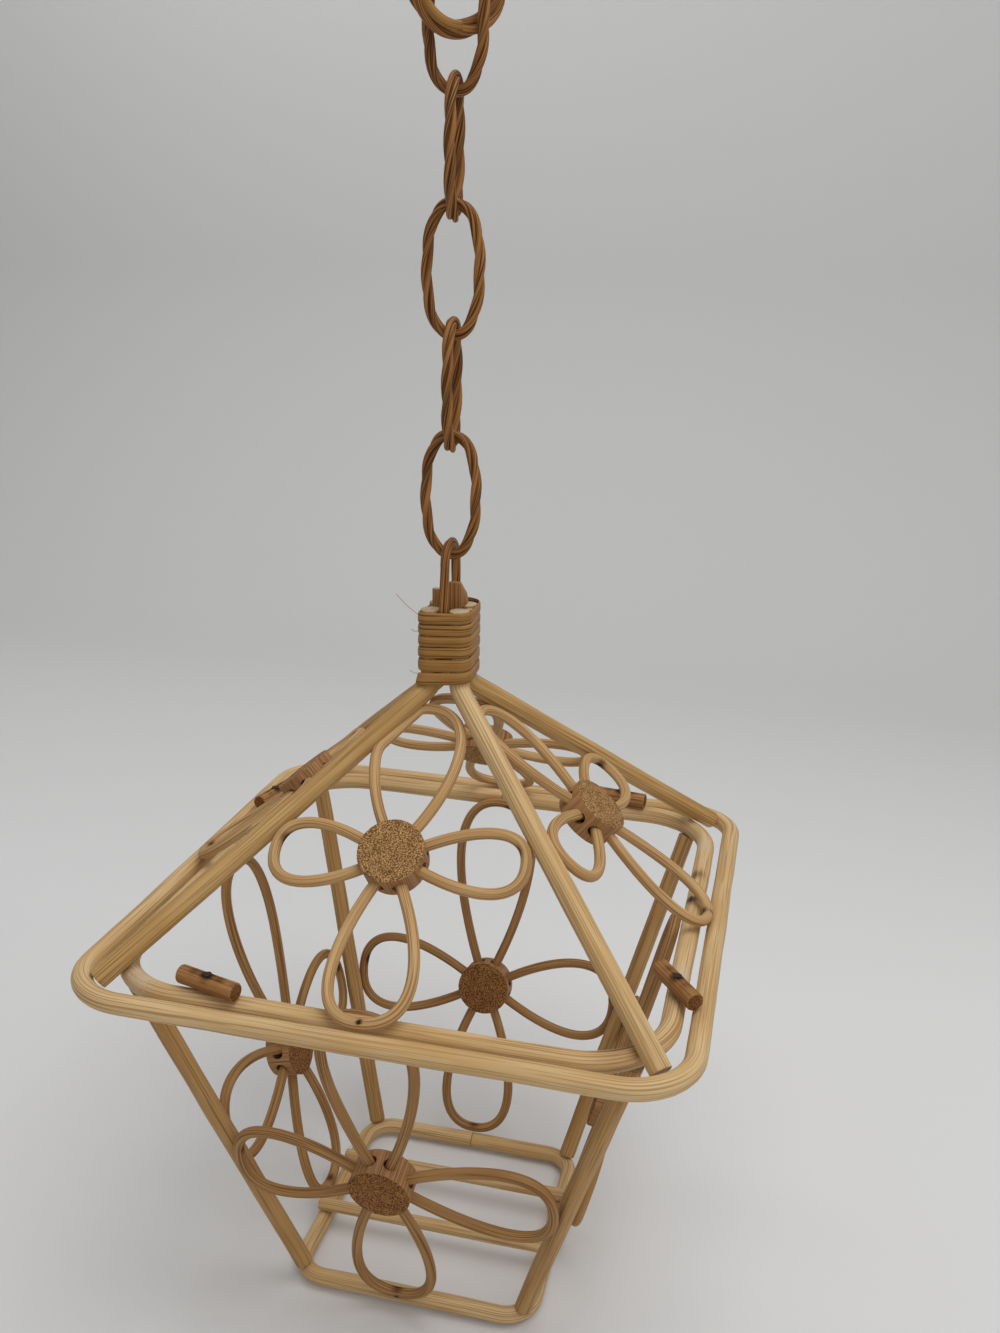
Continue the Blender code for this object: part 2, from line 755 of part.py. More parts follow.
def make_flower(name, seat, half_widths, side_index):
    """Four bent petals joined in a core, and the drilled hub that hides it."""
    paths = petal_paths(seat, half_widths)
    core = disc(seat, PETAL_CORE_RADIUS, PETAL_CORE_HALF, CORE_SIDES)
    petals = add_object(name + "_petals", core, PETAL)
    strands = [tube_rings(path, seat.face, False, PETAL_ROD, PETAL_SIDES) for path in paths]
    unite(petals, gather([skin_rings(strand, False) for strand in strands]))
    block = disc(seat, HUB_RADIUS, HUB_THICKNESS / 2, HUB_SIDES, HUB_EDGE)
    hub = add_object(name + "_hub", block, SAWN_HUB)
    subtract(hub, disc(seat, PETAL_CORE_RADIUS + SEAT_GAP, PETAL_CORE_HALF + SEAT_GAP, CORE_SIDES))
    subtract(hub, gather(leg_tubes(paths, seat, PETAL_ROD + SEAT_GAP, HUB_LEG_POINTS)))
    for piece in (petals, hub):
        piece.matrix_world = side_matrix(side_index)
    return petals, hub


def hang_lantern(pieces):
    """Parent the lantern's pieces to an empty on the rod of the last link, where they swing."""
    lantern = bpy.data.objects.new("lantern", None)
    bpy.context.scene.collection.objects.link(lantern)
    lantern.location = (0, 0, LAST_LINK_FOOT)
    inverse = Matrix.Translation((0, 0, -LAST_LINK_FOOT))
    for piece in pieces:
        piece.parent = lantern
        piece.matrix_parent_inverse = inverse


def build():
    clear_scene()
    for number in range(1, LINK_COUNT + 1):
        make_link(number)
    make_hanging_ring()
    lantern = [
        make_hanging_loop(),
        make_filler("filler_stick_left", -1, FILLER_HEAD),
        make_filler("filler_stick_right", 1, RIB_HEAD),
        make_wedge(),
        make_cane_binding(),
        make_square_ring("eave_ring", EAVE_HALF, EAVE_CORNER, EAVE_ROD, EAVE_Z),
        make_rim(),
        make_square_ring("base_ring", BASE_HALF, BASE_CORNER, BASE_ROD, BASE_Z),
        make_floor_bar("floor_bar_front", -BAR_SPACING / 2),
        make_floor_bar("floor_bar_back", BAR_SPACING / 2),
    ]
    for corner_index in range(len(CORNERS)):
        lantern.append(make_rib(corner_index))
        lantern.append(make_post(corner_index))
    for side_index, side in enumerate(SIDES):
        lantern.append(make_nail(side_index))
        roof = roof_seat(ROOF_HUB_SLIDES[side_index])
        lantern.extend(make_flower(f"roof_flower_{side}", roof, ROOF_PETAL_HALF_WIDTHS, side_index))
        basket = basket_seat(BASKET_HUB_SLIDES[side_index])
        lantern.extend(make_flower(f"basket_flower_{side}", basket, BASKET_PETAL_HALF_WIDTHS, side_index))
        make_button(side_index)
    hang_lantern(lantern)


build()
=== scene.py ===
"""The looks of a hanging rattan planter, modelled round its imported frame."""

import math

import bmesh
import bpy
from bpy.props import FloatProperty, FloatVectorProperty, IntProperty
from mathutils import Matrix, Vector, noise


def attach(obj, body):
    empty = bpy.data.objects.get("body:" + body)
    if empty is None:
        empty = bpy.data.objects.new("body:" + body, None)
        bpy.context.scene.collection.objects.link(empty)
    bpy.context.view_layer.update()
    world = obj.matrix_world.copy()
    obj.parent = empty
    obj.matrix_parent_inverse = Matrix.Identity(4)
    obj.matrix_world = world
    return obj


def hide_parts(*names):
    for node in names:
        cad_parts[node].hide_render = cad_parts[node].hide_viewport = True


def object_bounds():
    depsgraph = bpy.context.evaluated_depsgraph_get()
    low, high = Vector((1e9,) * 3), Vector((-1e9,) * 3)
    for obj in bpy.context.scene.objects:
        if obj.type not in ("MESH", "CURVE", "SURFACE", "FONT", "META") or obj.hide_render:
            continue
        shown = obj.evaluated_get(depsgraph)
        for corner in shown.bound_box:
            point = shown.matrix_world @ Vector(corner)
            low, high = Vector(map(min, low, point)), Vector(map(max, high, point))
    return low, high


bl_info = {
    "name": "Hanging rattan planter",
    "version": (1, 0, 0),
    "blender": (4, 5, 0),
    "location": "View3D > Sidebar > Planter",
    "description": "Models the rattan, cane and nails of a hanging planter round its frame",
    "category": "Object",
}

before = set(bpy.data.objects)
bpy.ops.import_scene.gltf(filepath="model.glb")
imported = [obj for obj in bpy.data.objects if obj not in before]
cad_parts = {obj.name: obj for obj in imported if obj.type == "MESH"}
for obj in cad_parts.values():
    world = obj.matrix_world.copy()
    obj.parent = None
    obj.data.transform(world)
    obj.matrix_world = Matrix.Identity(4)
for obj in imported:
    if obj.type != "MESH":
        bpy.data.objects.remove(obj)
CAD_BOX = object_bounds()

UP = Vector((0, 0, 1))
QUARTER = math.pi / 2
DIAGONAL = math.sqrt(2)
SIDES = ("front", "right", "back", "left")
CORNERS = ("front_left", "front_right", "back_right", "back_left")

# Heights of the frame's main levels
LINK_TOP = 0.00275
CANE_TOP = -0.2885
CANE_FOOT = -0.3306
EAVE_Z = -0.4534
BASE_Z = -0.6644

# Chain, ring and loop. Strands are a little thicker than would just touch, and painted shade darkens them
# in the lay, which is inside a share of the rod. Some links hang turned a little by their slack.
LINK_ROD = 0.00275
LINK_HALF_LENGTH = 0.0293
LINK_HALF_WIDTH = 0.01275
LINK_OVAL_POWER = 2.35
LINK_PITCH = 0.0526
LINK_SLACK_DEGREES = (0, 6, 0, 5, 0)
STRAND_FULLNESS = 1.07
LAY_PAINTED_SHADE = 0.55
LAY_SHARE = 0.82
LAY_FADE = 0.3
RING_RADIUS = 0.0205
RING_ROD = 0.00425
RING_TURN = math.radians(40)
RING_CENTRE_Z = -0.01045
RING_SPLIT = 0.01
RING_END_ROD = 0.0023
RING_END_OUT = 0.0028
RING_END_IN = 0.0010
RING_END_START = math.radians(-165)
RING_END_STOP = math.radians(-86)
LOOP_ROD = 0.0025
LOOP_TOP = -0.2605
LOOP_BURIED = 0.024
LOOP_TURNS = 0.6

# Poles. A rib or post ends so far out along the diagonal, and so far above the eave's level. The
# ends of a pole that is bent to a ring stay a gap apart.
FIRST_CORNER = math.radians(225)
JOINT_GAP = 0.0003
RING_POLE_ROD = 0.005
RIB_ROD = 0.0052
RIB_SHANK_OUT = 0.01047
RIB_BEND_RISE = 0.1225
RIB_BEND_RADIUS = 0.0058
RIB_BEND_TURN = math.radians(56.225)
RIB_FOOT = (0.18644, 0.00171)
RIB_HEAD_Z = -0.2931
# Every rib but the front right one takes the darker copy of the pole, as painted shade.
RIB_SKINS = ("shaded_rib_pole", "pole", "shaded_rib_pole", "shaded_rib_pole")
POST_HEAD = (0.16809, -0.00511)
POST_FOOT = (0.08855, -0.20635)
POST_ROD = 0.0048
EAVE_HALF = 0.145
EAVE_CORNER = 0.030
RIM_HALF = 0.132
RIM_CORNER = 0.040
BASE_HALF = 0.066
BASE_CORNER = 0.016
BASE_ROD = 0.0045
BAR_ROD = 0.0035
BAR_REACH = 0.069
BAR_PLACE = 0.022
BAR_GAP = 0.0003

# How fast a pole's unevenness changes: its flutes round it and along it, its swelling and its line
FLUTES_ROUND = 2.2
FLUTES_ALONG = 14
SWELLS_ALONG = 38
SWAYS_ALONG = 22
SWAY_SEED = 7

# Places on the rim that are burnt (strength above nothing) or rubbed to fuzz (below nothing)
RIM_MARKS = (
    (0.130, 0.020, 0.0075, 0.95),
    (0.130, 0.050, 0.0110, 0.60),
    (-0.127, -0.104, 0.0050, 1.0),
    (-0.112, -0.126, 0.0260, -0.8),
    (0.112, -0.126, 0.0200, 0.45),
    (0.128, -0.060, 0.0260, -0.9),
    (0.128, 0.090, 0.0260, -0.75),
)

# Bundle: the fillers' places across it and heads above the cane's top, and the wedge's half widths
BUNDLE_SPACING = 0.0074
NESTED_OFFSET = 0.01044
FILLERS = (("left", -0.0068, 0.0040), ("right", NESTED_OFFSET, -0.0055))
FILLER_ROD = 0.0022
FILLER_BURIED = 0.030
WEDGE_THICKNESS = 0.0038
WEDGE_HEAD = 0.0080
WEDGE_SHOULDER = 0.0016
WEDGE_HIP = -0.005
WEDGE_TOE = -0.026
WEDGE_HEAD_HALF = 0.00275
WEDGE_BROAD_HALF = 0.0066
WEDGE_HELD_HALF = 0.0058
WEDGE_TOE_HALF = 0.0025
WEDGE_BROAD_MIDDLE = 0.0026
WEDGE_HELD_MIDDLE = 0.0007

# Cane binding, from the front left corner. Levels and widths are those of each turn at the middle
# of the front. The section's points are out from the bundle and across the cane, as shares of its
# thickness and width. The cane lies loose, flared and low over the first share of a turn.
CANE_FRONT_SHARE = 0.125
CANE_TURNS = 5.75
CANE_TURN_LENGTH = 0.085
CANE_STEPS = 72
CANE_THICKNESS = 0.0010
CANE_SECTION = (
    (0.0, -0.5), (0.55, -0.47), (0.92, -0.34), (1.0, 0.0), (0.92, 0.34), (0.55, 0.47), (0.0, 0.5),
)
CANE_BULGE = 0.00025
CANE_LOOSE_SHARE = 0.3
CANE_FLARE = 0.0016
CANE_SAG = 0.0006
# Painted shade along the cane's inner edges, where it lies against the bundle
CANE_EDGE_PAINTED_SHADE = 0.42
CANE_INNER_HALF = 0.0129
CANE_LEVELS = (0.0, 0.0066, 0.0132, 0.0191, 0.0249, 0.0308, 0.0368)
CANE_WIDTHS = (0.0063, 0.0062, 0.0056, 0.0055, 0.0056, 0.0058, 0.0058)
FIBRE_ROD = 0.00014
FIBRE_SAG = 0.0008
LOOSE_FIBRES = (
    (Vector((-0.0118, -0.0118, -0.2965)), Vector((-0.0236, -0.0146, -0.2852))),
    (Vector((-0.0125, -0.0120, -0.3040)), Vector((-0.0162, -0.0131, -0.3032))),
    (Vector((-0.0120, -0.0122, -0.3262)), Vector((-0.0170, -0.0130, -0.3248))),
)

# Flowers: hub centre and the way up the face. Each petal (right, top, left, foot) has its reach,
# its half width, how full its tip is, and how far the tip lifts off the flower's plane. It is
# burnt on one side of its tip or, where that side is nothing, in the middle.
HUB_RADIUS = 0.0162
HUB_THICKNESS = 0.015
PETAL_ROD = 0.0028
PETAL_START = 0.0086
PETAL_SPREAD = math.radians(22)
LEG_PULL_SHARE = 0.55
HUB_BEVEL = 0.0008
HUB_LUMP = 0.018
DRILL_PLAY = 0.0004
DRILL_DEPTH = 0.024
DRILL_LEAN_SHARE = 0.62
BURN_SIDES = (1, 1, -1, 0)
BURN_RADIUS = 0.0066
NAIL_MARK_RADIUS = 0.0026
TEAR_RADIUS = 0.0032
ROOF_ORIGIN = Vector((0, -0.07709, -0.39663))
ROOF_RISE = Vector((0, 0.763515, 0.645791))
ROOF_PETALS = (
    (0.0610, 0.0175, 1.22, 0.0),
    (0.0770, 0.0230, 0.95, -0.002),
    (0.0610, 0.0175, 1.22, 0.0),
    (0.0800, 0.0220, 1.22, 0.0030),
)
ROOF_FRONT_PETALS = (
    (0.0635, 0.0180, 1.22, 0.0),
    (0.0830, 0.0290, 0.90, -0.002),
    (0.0590, 0.0180, 1.22, 0.0),
    (0.0805, 0.0225, 1.22, 0.0035),
)
ROOF_FRONT_SLIDE = -0.0045
ROOF_FRONT_TILT = math.radians(4)
KINKED_FLOWER = "roof_petals_front"
KINKED_LEAN = 0.04
BASKET_ORIGIN = Vector((0, -0.09454, -0.56834))
BASKET_RISE = Vector((0, -0.247497, 0.968889))
BASKET_PETALS = (
    (0.08236, 0.0270, 1.22, 0.0),
    (0.11859, 0.0270, 1.22, 0.0),
    (0.08236, 0.0270, 1.22, 0.0),
    (0.09356, 0.0240, 1.22, 0.0),
)
BASKET_FRONT_PETALS = (
    (0.08744, 0.0270, 1.22, 0.0),
    (0.11859, 0.0270, 1.22, 0.0),
    (0.07737, 0.0270, 1.22, 0.0),
    (0.09356, 0.0240, 1.22, 0.0),
)
BASKET_FRONT_SLIDE = -0.005

# Turn-buttons
BUTTON_ROD = 0.0044
BUTTON_LENGTH = 0.032
BUTTON_PLACE = 0.075
BUTTON_HEIGHT = -0.4435
BUTTON_RESTS = (math.radians(-15), math.radians(36), math.radians(-8), math.radians(-12))

# Burns on a button: share of its half length, share of its rod upwards, radius and strength
BUTTON_MARKS = (
    (0.0, 1.0, 0.0075, 1.0),
    (1.0, 0.5, 0.0050, 0.6),
    (-0.45, 1.0, 0.0065, 0.55),
    (0.45, 1.0, 0.0065, 0.55),
)

# Stage: the paper's sheet, and each light's name, place, target, size and power in watts
FLOOR_GAP = 0.002
SHEET_WIDTH = 8.0
SHEET_DEPTH = 2.2
SHEET_HEIGHT = 4.0
SHEET_BEND = 0.55
LIGHTS = (
    ("top", (0.55, -0.25, 1.4), (0, 0, -0.4), 1.6, 22.0),
    ("front", (1.0, -1.6, 0.5), (0, 0, -0.4), 1.2, 5.0),
    ("wall", (-0.8, 0.9, 1.3), (-0.8, 1.65, 0.5), 1.0, 7.0),
)

# Camera, as fitted to the photographed view
CAMERA_PLACE = Vector((0.1642, -0.5839, -0.1322))
CAMERA_TURN = (0.2311, -0.3073, -0.0236)
CAMERA_LENS_MM = 33.57
CAMERA_SENSOR_MM = 36.0


def linear(code):
    """Linear red, green and blue of an sRGB hex colour."""
    parts = [int(code[place:place + 2], 16) / 255 for place in (1, 3, 5)]
    return tuple(part / 12.92 if part <= 0.04045 else ((part + 0.055) / 1.055) ** 2.4 for part in parts)


def shade(code):
    """Opaque linear colour of an sRGB hex colour, for a node's socket."""
    return (*linear(code), 1.0)


# Materials; these are the widths of what their patterns show

PATCH_MM = 14.0
FUZZ_MM = 1.1
CLOUD_MM = 6.0
MOTTLE_MM = 0.5


def wire(tree, kind, inputs, output=0, **settings):
    """Add a shader node with its settings, set or link its inputs, and give one of its outputs."""
    node = tree.nodes.new("ShaderNode" + kind)
    for name, value in settings.items():
        setattr(node, name, value)
    for key, value in inputs.items():
        if isinstance(value, bpy.types.NodeSocket):
            tree.links.new(value, node.inputs[key])
        else:
            node.inputs[key].default_value = value
    return node.outputs[output]


def mixed(tree, share, first, second):
    """The first colour turned into the second by a share."""
    return wire(tree, "Mix", {0: share, 6: first, 7: second}, 2, data_type="RGBA")


def ramp(tree, value, low, high, bottom, top):
    """A value from low to high made one from bottom to top, and never past them."""
    return wire(tree, "MapRange", {0: value, 1: low, 2: high, 3: bottom, 4: top})


def mottling(tree, place, width_mm, detail):
    """Random shades of a width, at places given in metres."""
    return wire(tree, "TexNoise", {"Vector": place, "Scale": 1000 / width_mm, "Detail": detail})


def new_material(name, roughness, specular):
    material = bpy.data.materials.new(name)
    material.use_nodes = True
    shader = material.node_tree.nodes["Principled BSDF"]
    shader.inputs["Roughness"].default_value = roughness
    shader.inputs["Specular IOR Level"].default_value = specular
    return material, material.node_tree, shader


def rattan(name, light, dark, warm, line_mm, contrast, roughness=0.5, relief_mm=0.2):
    """Rattan seen along its fibres: long streaks, finer dark lines, warm patches and marked places.

    The pattern follows the stick through its grain attribute, which holds each point's place in
    the straight stick before it was bent. Its mark attribute is above nothing where the stick is
    scorched and where painted shade darkens the lay of twisted strands and the edges of the cane,
    and below nothing where its skin is rubbed to pale fuzz.
    """
    material, tree, shader = new_material(name, roughness, 0.18)
    grain = wire(tree, "Attribute", {}, 1, attribute_name="grain")
    along = wire(tree, "Mapping", {"Vector": grain, "Scale": (1.0, 1.0, 0.02)})
    finer = wire(tree, "Mapping", {"Vector": grain, "Scale": (1.0, 1.0, 0.009)})
    broad = wire(tree, "Mapping", {"Vector": grain, "Scale": (1.0, 1.0, 0.3)})
    streak = mottling(tree, along, 2.6 * line_mm, 2.0)
    line = mottling(tree, finer, line_mm, 1.0)
    patch = mottling(tree, broad, PATCH_MM, 2.0)
    streak_share = ramp(tree, streak, 0.45, 0.70, 0.0, 0.35 * contrast)
    line_share = ramp(tree, line, 0.50, 0.60, 0.0, contrast)
    patch_share = ramp(tree, patch, 0.42, 0.72, 0.0, 0.6)
    colour = mixed(tree, streak_share, light, dark)
    colour = mixed(tree, line_share, colour, dark)
    colour = mixed(tree, patch_share, colour, warm)
    mark = wire(tree, "Attribute", {}, 2, attribute_name="mark")
    fluff = mottling(tree, grain, FUZZ_MM, 3.0)
    fluffy = wire(tree, "Math", {0: mark, 1: fluff}, operation="ADD")
    fuzz_share = ramp(tree, fluffy, 0.1, -0.25, 0.0, 0.75)
    colour = mixed(tree, fuzz_share, colour, shade("#cdb99c"))
    # The mark browns and blackens scorched places, and also paints shade into the lay of twisted strands and
    # along the cane's edges.
    brown_share = wire(tree, "Math", {0: mark, 1: 0.75}, operation="MULTIPLY")
    colour = mixed(tree, brown_share, colour, shade("#7c4a22"))
    ragged = ramp(tree, streak, 0.3, 0.7, -0.25, 0.25)
    scorch_and_shade = wire(tree, "Math", {0: mark, 1: ragged}, operation="ADD")
    black_share = ramp(tree, scorch_and_shade, 0.28, 0.85, 0.0, 1.0)
    colour = mixed(tree, black_share, colour, shade("#1d120b"))
    tree.links.new(colour, shader.inputs["Base Color"])
    height = wire(tree, "Math", {0: line, 1: streak}, operation="ADD")
    bump = wire(tree, "Bump", {"Height": height, "Strength": 0.7, "Distance": relief_mm / 1000})
    tree.links.new(bump, shader.inputs["Normal"])
    return material


def end_grain(name, pale, pore, pore_mm, roughness, relief_mm, depth):
    """Rattan cut across: rough pale grains with dark pores between them."""
    material, tree, shader = new_material(name, roughness, 0.1)
    grain = wire(tree, "Attribute", {}, 1, attribute_name="grain")
    pores = wire(tree, "TexVoronoi", {"Vector": grain, "Scale": 1000 / pore_mm, "Randomness": 0.9})
    speck = mottling(tree, grain, 0.6 * pore_mm, 3.0)
    cloud = mottling(tree, grain, CLOUD_MM, 2.0)
    between = ramp(tree, pores, 0.30, 0.60, 0.0, depth)
    broken = ramp(tree, speck, 0.35, 0.6, 0.4, 1.0)
    pit = wire(tree, "Math", {0: between, 1: broken}, operation="MULTIPLY")
    cloud_share = ramp(tree, cloud, 0.35, 0.7, 0.0, 0.35)
    colour = mixed(tree, pit, pale, pore)
    colour = mixed(tree, cloud_share, colour, pore)
    tree.links.new(colour, shader.inputs["Base Color"])
    height = wire(tree, "Math", {0: speck, 1: pit}, operation="SUBTRACT")
    bump = wire(tree, "Bump", {"Height": height, "Strength": 0.8, "Distance": relief_mm / 1000})
    tree.links.new(bump, shader.inputs["Normal"])
    return material


def dark_nail(name):
    """Drawn steel wire nail, dulled by the scorching: nearly black, with a soft glint."""
    material, tree, shader = new_material(name, 0.5, 0.5)
    shader.inputs["Metallic"].default_value = 1.0
    place = wire(tree, "TexCoord", {}, 3)
    mottle = mottling(tree, place, MOTTLE_MM, 3.0)
    colour = mixed(tree, mottle, shade("#2a2522"), shade("#5b5048"))
    tree.links.new(colour, shader.inputs["Base Color"])
    return material


def colour_setting(name, description, code):
    return FloatVectorProperty(name=name, description=description, subtype="COLOR", size=3,
                               default=linear(code))


class PlanterColours(bpy.types.PropertyGroup):
    """Colours of the rattan, as it looks in plain light."""

    pole_light: colour_setting("Pole", "Pale skin of the peeled poles", "#d9b988")
    pole_dark: colour_setting("Pole streaks", "Fibres that show dark along the poles", "#8c6537")
    strand_light: colour_setting("Strand", "Bent strands of the flowers", "#cca774")
    strand_dark: colour_setting("Strand streaks", "Dark fibres of the bent strands", "#875e33")
    twist_light: colour_setting("Chain", "Twisted strands of the chain", "#a8743f")
    twist_dark: colour_setting("Chain streaks", "Dark fibres of the chain", "#3c210a")
    hub_face: colour_setting("Hub face", "Sawn faces of the flower hubs", "#d9ab72")
    hub_side: colour_setting("Hub side", "Skin round the flower hubs", "#b3875b")
    cane_light: colour_setting("Cane", "Flat cane of the binding", "#ad8044")
    button_light: colour_setting("Buttons", "Turn-buttons and wedge", "#ad7f4c")


class PlanterSizes(bpy.types.PropertyGroup):
    """Make of the rattan: how it is twisted, and how uneven it is."""

    strands: IntProperty(name="Strands", description="Strands in each link of the chain",
                         default=3, min=2, max=4)
    link_turns: FloatProperty(name="Turns in a link", description="Turns of the strands once round a link",
                              default=8 / 3, min=0.0)
    ring_turns: FloatProperty(name="Turns in the ring",
                              description="Turns of the strands once round the ring",
                              default=4 / 3, min=0.0)
    swell_share: FloatProperty(name="Swell", description="How much a pole's thickness varies along it",
                               default=0.035, min=0.0, max=0.2)
    sway: FloatProperty(name="Sway", description="How far a pole strays from its line",
                        default=0.0004, min=0.0, unit="LENGTH")


MATERIALS = {}


def make_materials(colours):
    """Every finish of the planter, by name."""
    def rgba(name):
        return (*getattr(colours, name), 1.0)

    # Peeled rattan pole: smooth pale skin with long brown fibre streaks, satin.
    MATERIALS["pole"] = rattan(
        "peeled_rattan_pole", rgba("pole_light"), rgba("pole_dark"), shade("#c0965c"),
        line_mm=0.62, contrast=0.6)
    # The same pole, darker and more golden: painted shade, given to every rib but the front right one.
    MATERIALS["shaded_rib_pole"] = rattan(
        "painted_shade_rib_pole", shade("#c9a36a"), shade("#80592c"), shade("#ac8148"),
        line_mm=0.62, contrast=0.65)
    # The same pole lower down, browner: painted shade on the basket's posts.
    MATERIALS["post"] = rattan(
        "painted_shade_post_pole", shade("#bd955f"), shade("#74512c"), shade("#a2743f"),
        line_mm=0.62, contrast=0.6)
    # Split rattan core, bent by heat: warmer than the poles, with finer ridges.
    MATERIALS["strand"] = rattan(
        "bent_rattan_core", rgba("strand_light"), rgba("strand_dark"), shade("#b38753"),
        line_mm=0.55, contrast=0.8)
    # The same core on the basket, browner and a little redder: painted shade.
    MATERIALS["low_strand"] = rattan(
        "painted_shade_basket_core", shade("#b08653"), shade("#674424"), shade("#90663c"),
        line_mm=0.55, contrast=0.8)
    # Fumed rattan core twisted while wet: brown and ridged, with painted shade in the lay.
    MATERIALS["twist"] = rattan(
        "twisted_rattan_core", rgba("twist_light"), rgba("twist_dark"), shade("#6f441f"),
        line_mm=0.5, contrast=0.95, relief_mm=0.3)
    # Flat cane split from rattan skin: hard, smooth, with straight lines along it.
    MATERIALS["cane"] = rattan(
        "split_cane", rgba("cane_light"), shade("#5f3c1c"), shade("#8a5c2a"),
        line_mm=0.5, contrast=0.9, roughness=0.42, relief_mm=0.25)
    # Short rattan dowels: brown skin, scorched where they were nailed.
    MATERIALS["button"] = rattan(
        "scorched_rattan_dowel", rgba("button_light"), shade("#6b4321"), shade("#8a5a30"),
        line_mm=0.5, contrast=0.85, roughness=0.6)
    # Skin of the thick rattan, left on the rim of the hub: reddish brown.
    MATERIALS["hub_side"] = rattan(
        "thick_rattan_skin", rgba("hub_side"), shade("#6e4628"), shade("#9a6c42"),
        line_mm=0.5, contrast=0.8, roughness=0.6)
    # Thick rattan sawn across: matt, cork-like, full of small pores.
    MATERIALS["hub_face"] = end_grain(
        "sawn_rattan_face", rgba("hub_face"), shade("#5c3516"),
        pore_mm=0.85, roughness=0.85, relief_mm=0.6, depth=1.0)
    # The same sawn rattan, browner, on the hubs of the basket: painted shade.
    MATERIALS["low_hub_face"] = end_grain(
        "painted_shade_basket_face", shade("#b98450"), shade("#512c12"),
        pore_mm=1.0, roughness=0.85, relief_mm=0.6, depth=1.0)
    # Pole cut across with a knife: pale and porous.
    MATERIALS["cut_end"] = end_grain(
        "cut_rattan_end", shade("#dfcdae"), shade("#84633f"),
        pore_mm=0.55, roughness=0.8, relief_mm=0.2, depth=0.65)
    # Dowel cut across and browned by the heat: like the cut poles, but darker.
    MATERIALS["button_end"] = end_grain(
        "browned_rattan_end", shade("#9a6b3e"), shade("#4a2c14"),
        pore_mm=0.7, roughness=0.85, relief_mm=0.2, depth=0.9)
    MATERIALS["nail"] = dark_nail("dull_steel_nail")


# Shaping

def select_only(piece):
    bpy.ops.object.select_all(action="DESELECT")
    piece.select_set(True)
    bpy.context.view_layer.objects.active = piece


def apply_modifier(piece, kind, **settings):
    select_only(piece)
    modifier = piece.modifiers.new(kind.lower(), kind)
    for name, value in settings.items():
        setattr(modifier, name, value)
    bpy.ops.object.modifier_apply(modifier=modifier.name)


def pick(piece, kind, wanted):
    """In edit mode, select only the edges or faces of a piece that pass a test."""
    bpy.ops.mesh.select_mode(type=kind)
    bpy.ops.mesh.select_all(action="DESELECT")
    body = bmesh.from_edit_mesh(piece.data)
    for element in body.edges if kind == "EDGE" else body.faces:
        element.select_set(wanted(element))
    bmesh.update_edit_mesh(piece.data)


def is_lengthwise(edge):
    low, high = (vert.co for vert in edge.verts)
    return abs(high.z - low.z) > 5 * math.hypot(high.x - low.x, high.y - low.y)


def round_stick(name, length, radius, sides, spacing, edge):
    """A straight round stick up from the origin, cut into short lengths, its ends softened."""
    bpy.ops.object.select_all(action="DESELECT")
    bpy.ops.mesh.primitive_cylinder_add(vertices=sides, radius=radius, depth=length)
    stick = bpy.context.object
    stick.location.z = length / 2
    stick.name = name
    bpy.ops.object.transform_apply(location=True)
    bpy.ops.object.mode_set(mode="EDIT")
    cuts = max(1, round(length / spacing) - 1)
    while cuts > 0:
        pick(stick, "EDGE", is_lengthwise)
        now = min(cuts, 7) if cuts > 60 else cuts
        bpy.ops.mesh.subdivide(number_cuts=now)
        cuts = round((cuts + 1) / (now + 1)) - 1
    pick(stick, "EDGE", lambda rim: any(len(face.verts) > 4 for face in rim.link_faces))
    bpy.ops.mesh.bevel(offset=edge, segments=2, affect="EDGES")
    bpy.ops.object.mode_set(mode="OBJECT")
    stick.data.materials.clear()
    return stick


def uneven(stick, seed, swell, flute=0.012):
    """Swell and flute a straight stick as grown rattan is, by moving its points in and out."""
    for vertex in stick.data.vertices:
        x, y, z = vertex.co
        angle = math.atan2(y, x)
        x_place, y_place = FLUTES_ROUND * math.cos(angle), FLUTES_ROUND * math.sin(angle)
        round_place = Vector((x_place, y_place, FLUTES_ALONG * z + seed))
        swelling = noise.noise(Vector((seed, 3.1, z * SWELLS_ALONG)))
        factor = 1 + swell * swelling + flute * noise.noise(round_place)
        vertex.co.x = x * factor
        vertex.co.y = y * factor


def keep_grain(piece, seed):
    """Store each point's place in the straight stick, for the grain of its material."""
    piece.data.attributes.new("mark", "FLOAT", "POINT")
    grain = piece.data.attributes.new("grain", "FLOAT_VECTOR", "POINT")
    offset = Vector((0, 0, 0.37 * seed))
    for vertex, item in zip(piece.data.vertices, grain.data):
        item.vector = vertex.co + offset


def finish_stick(stick, skin, seed, cut="cut_end"):
    """Skin along the stick and end grain on its two cut ends, whose faces have the most corners."""
    stick.data.materials.append(MATERIALS[skin])
    stick.data.materials.append(MATERIALS[cut])
    for face in stick.data.polygons:
        face.material_index = 1 if len(face.vertices) > 4 else 0
    keep_grain(stick, seed)
    select_only(stick)
    bpy.ops.object.shade_smooth_by_angle(angle=math.radians(50))


def bend(stick, points):
    """Bend a straight stick along a line of points, end to end."""
    bpy.ops.object.select_all(action="DESELECT")
    bpy.ops.curve.primitive_nurbs_path_add()
    path = bpy.context.object
    curve = path.data
    curve.splines.clear()
    spline = curve.splines.new("POLY")
    spline.points.add(len(points) - 1)
    for knot, point in zip(spline.points, points):
        knot.co = (*point, 1)
    curve.twist_mode = "MINIMUM"
    curve.use_stretch = True
    curve.use_deform_bounds = True
    apply_modifier(stick, "CURVE", object=path, deform_axis="POS_Z")
    bpy.data.objects.remove(path)
    bpy.data.curves.remove(curve)


def path_length(points):
    return sum((after - before).length for before, after in zip(points, points[1:]))


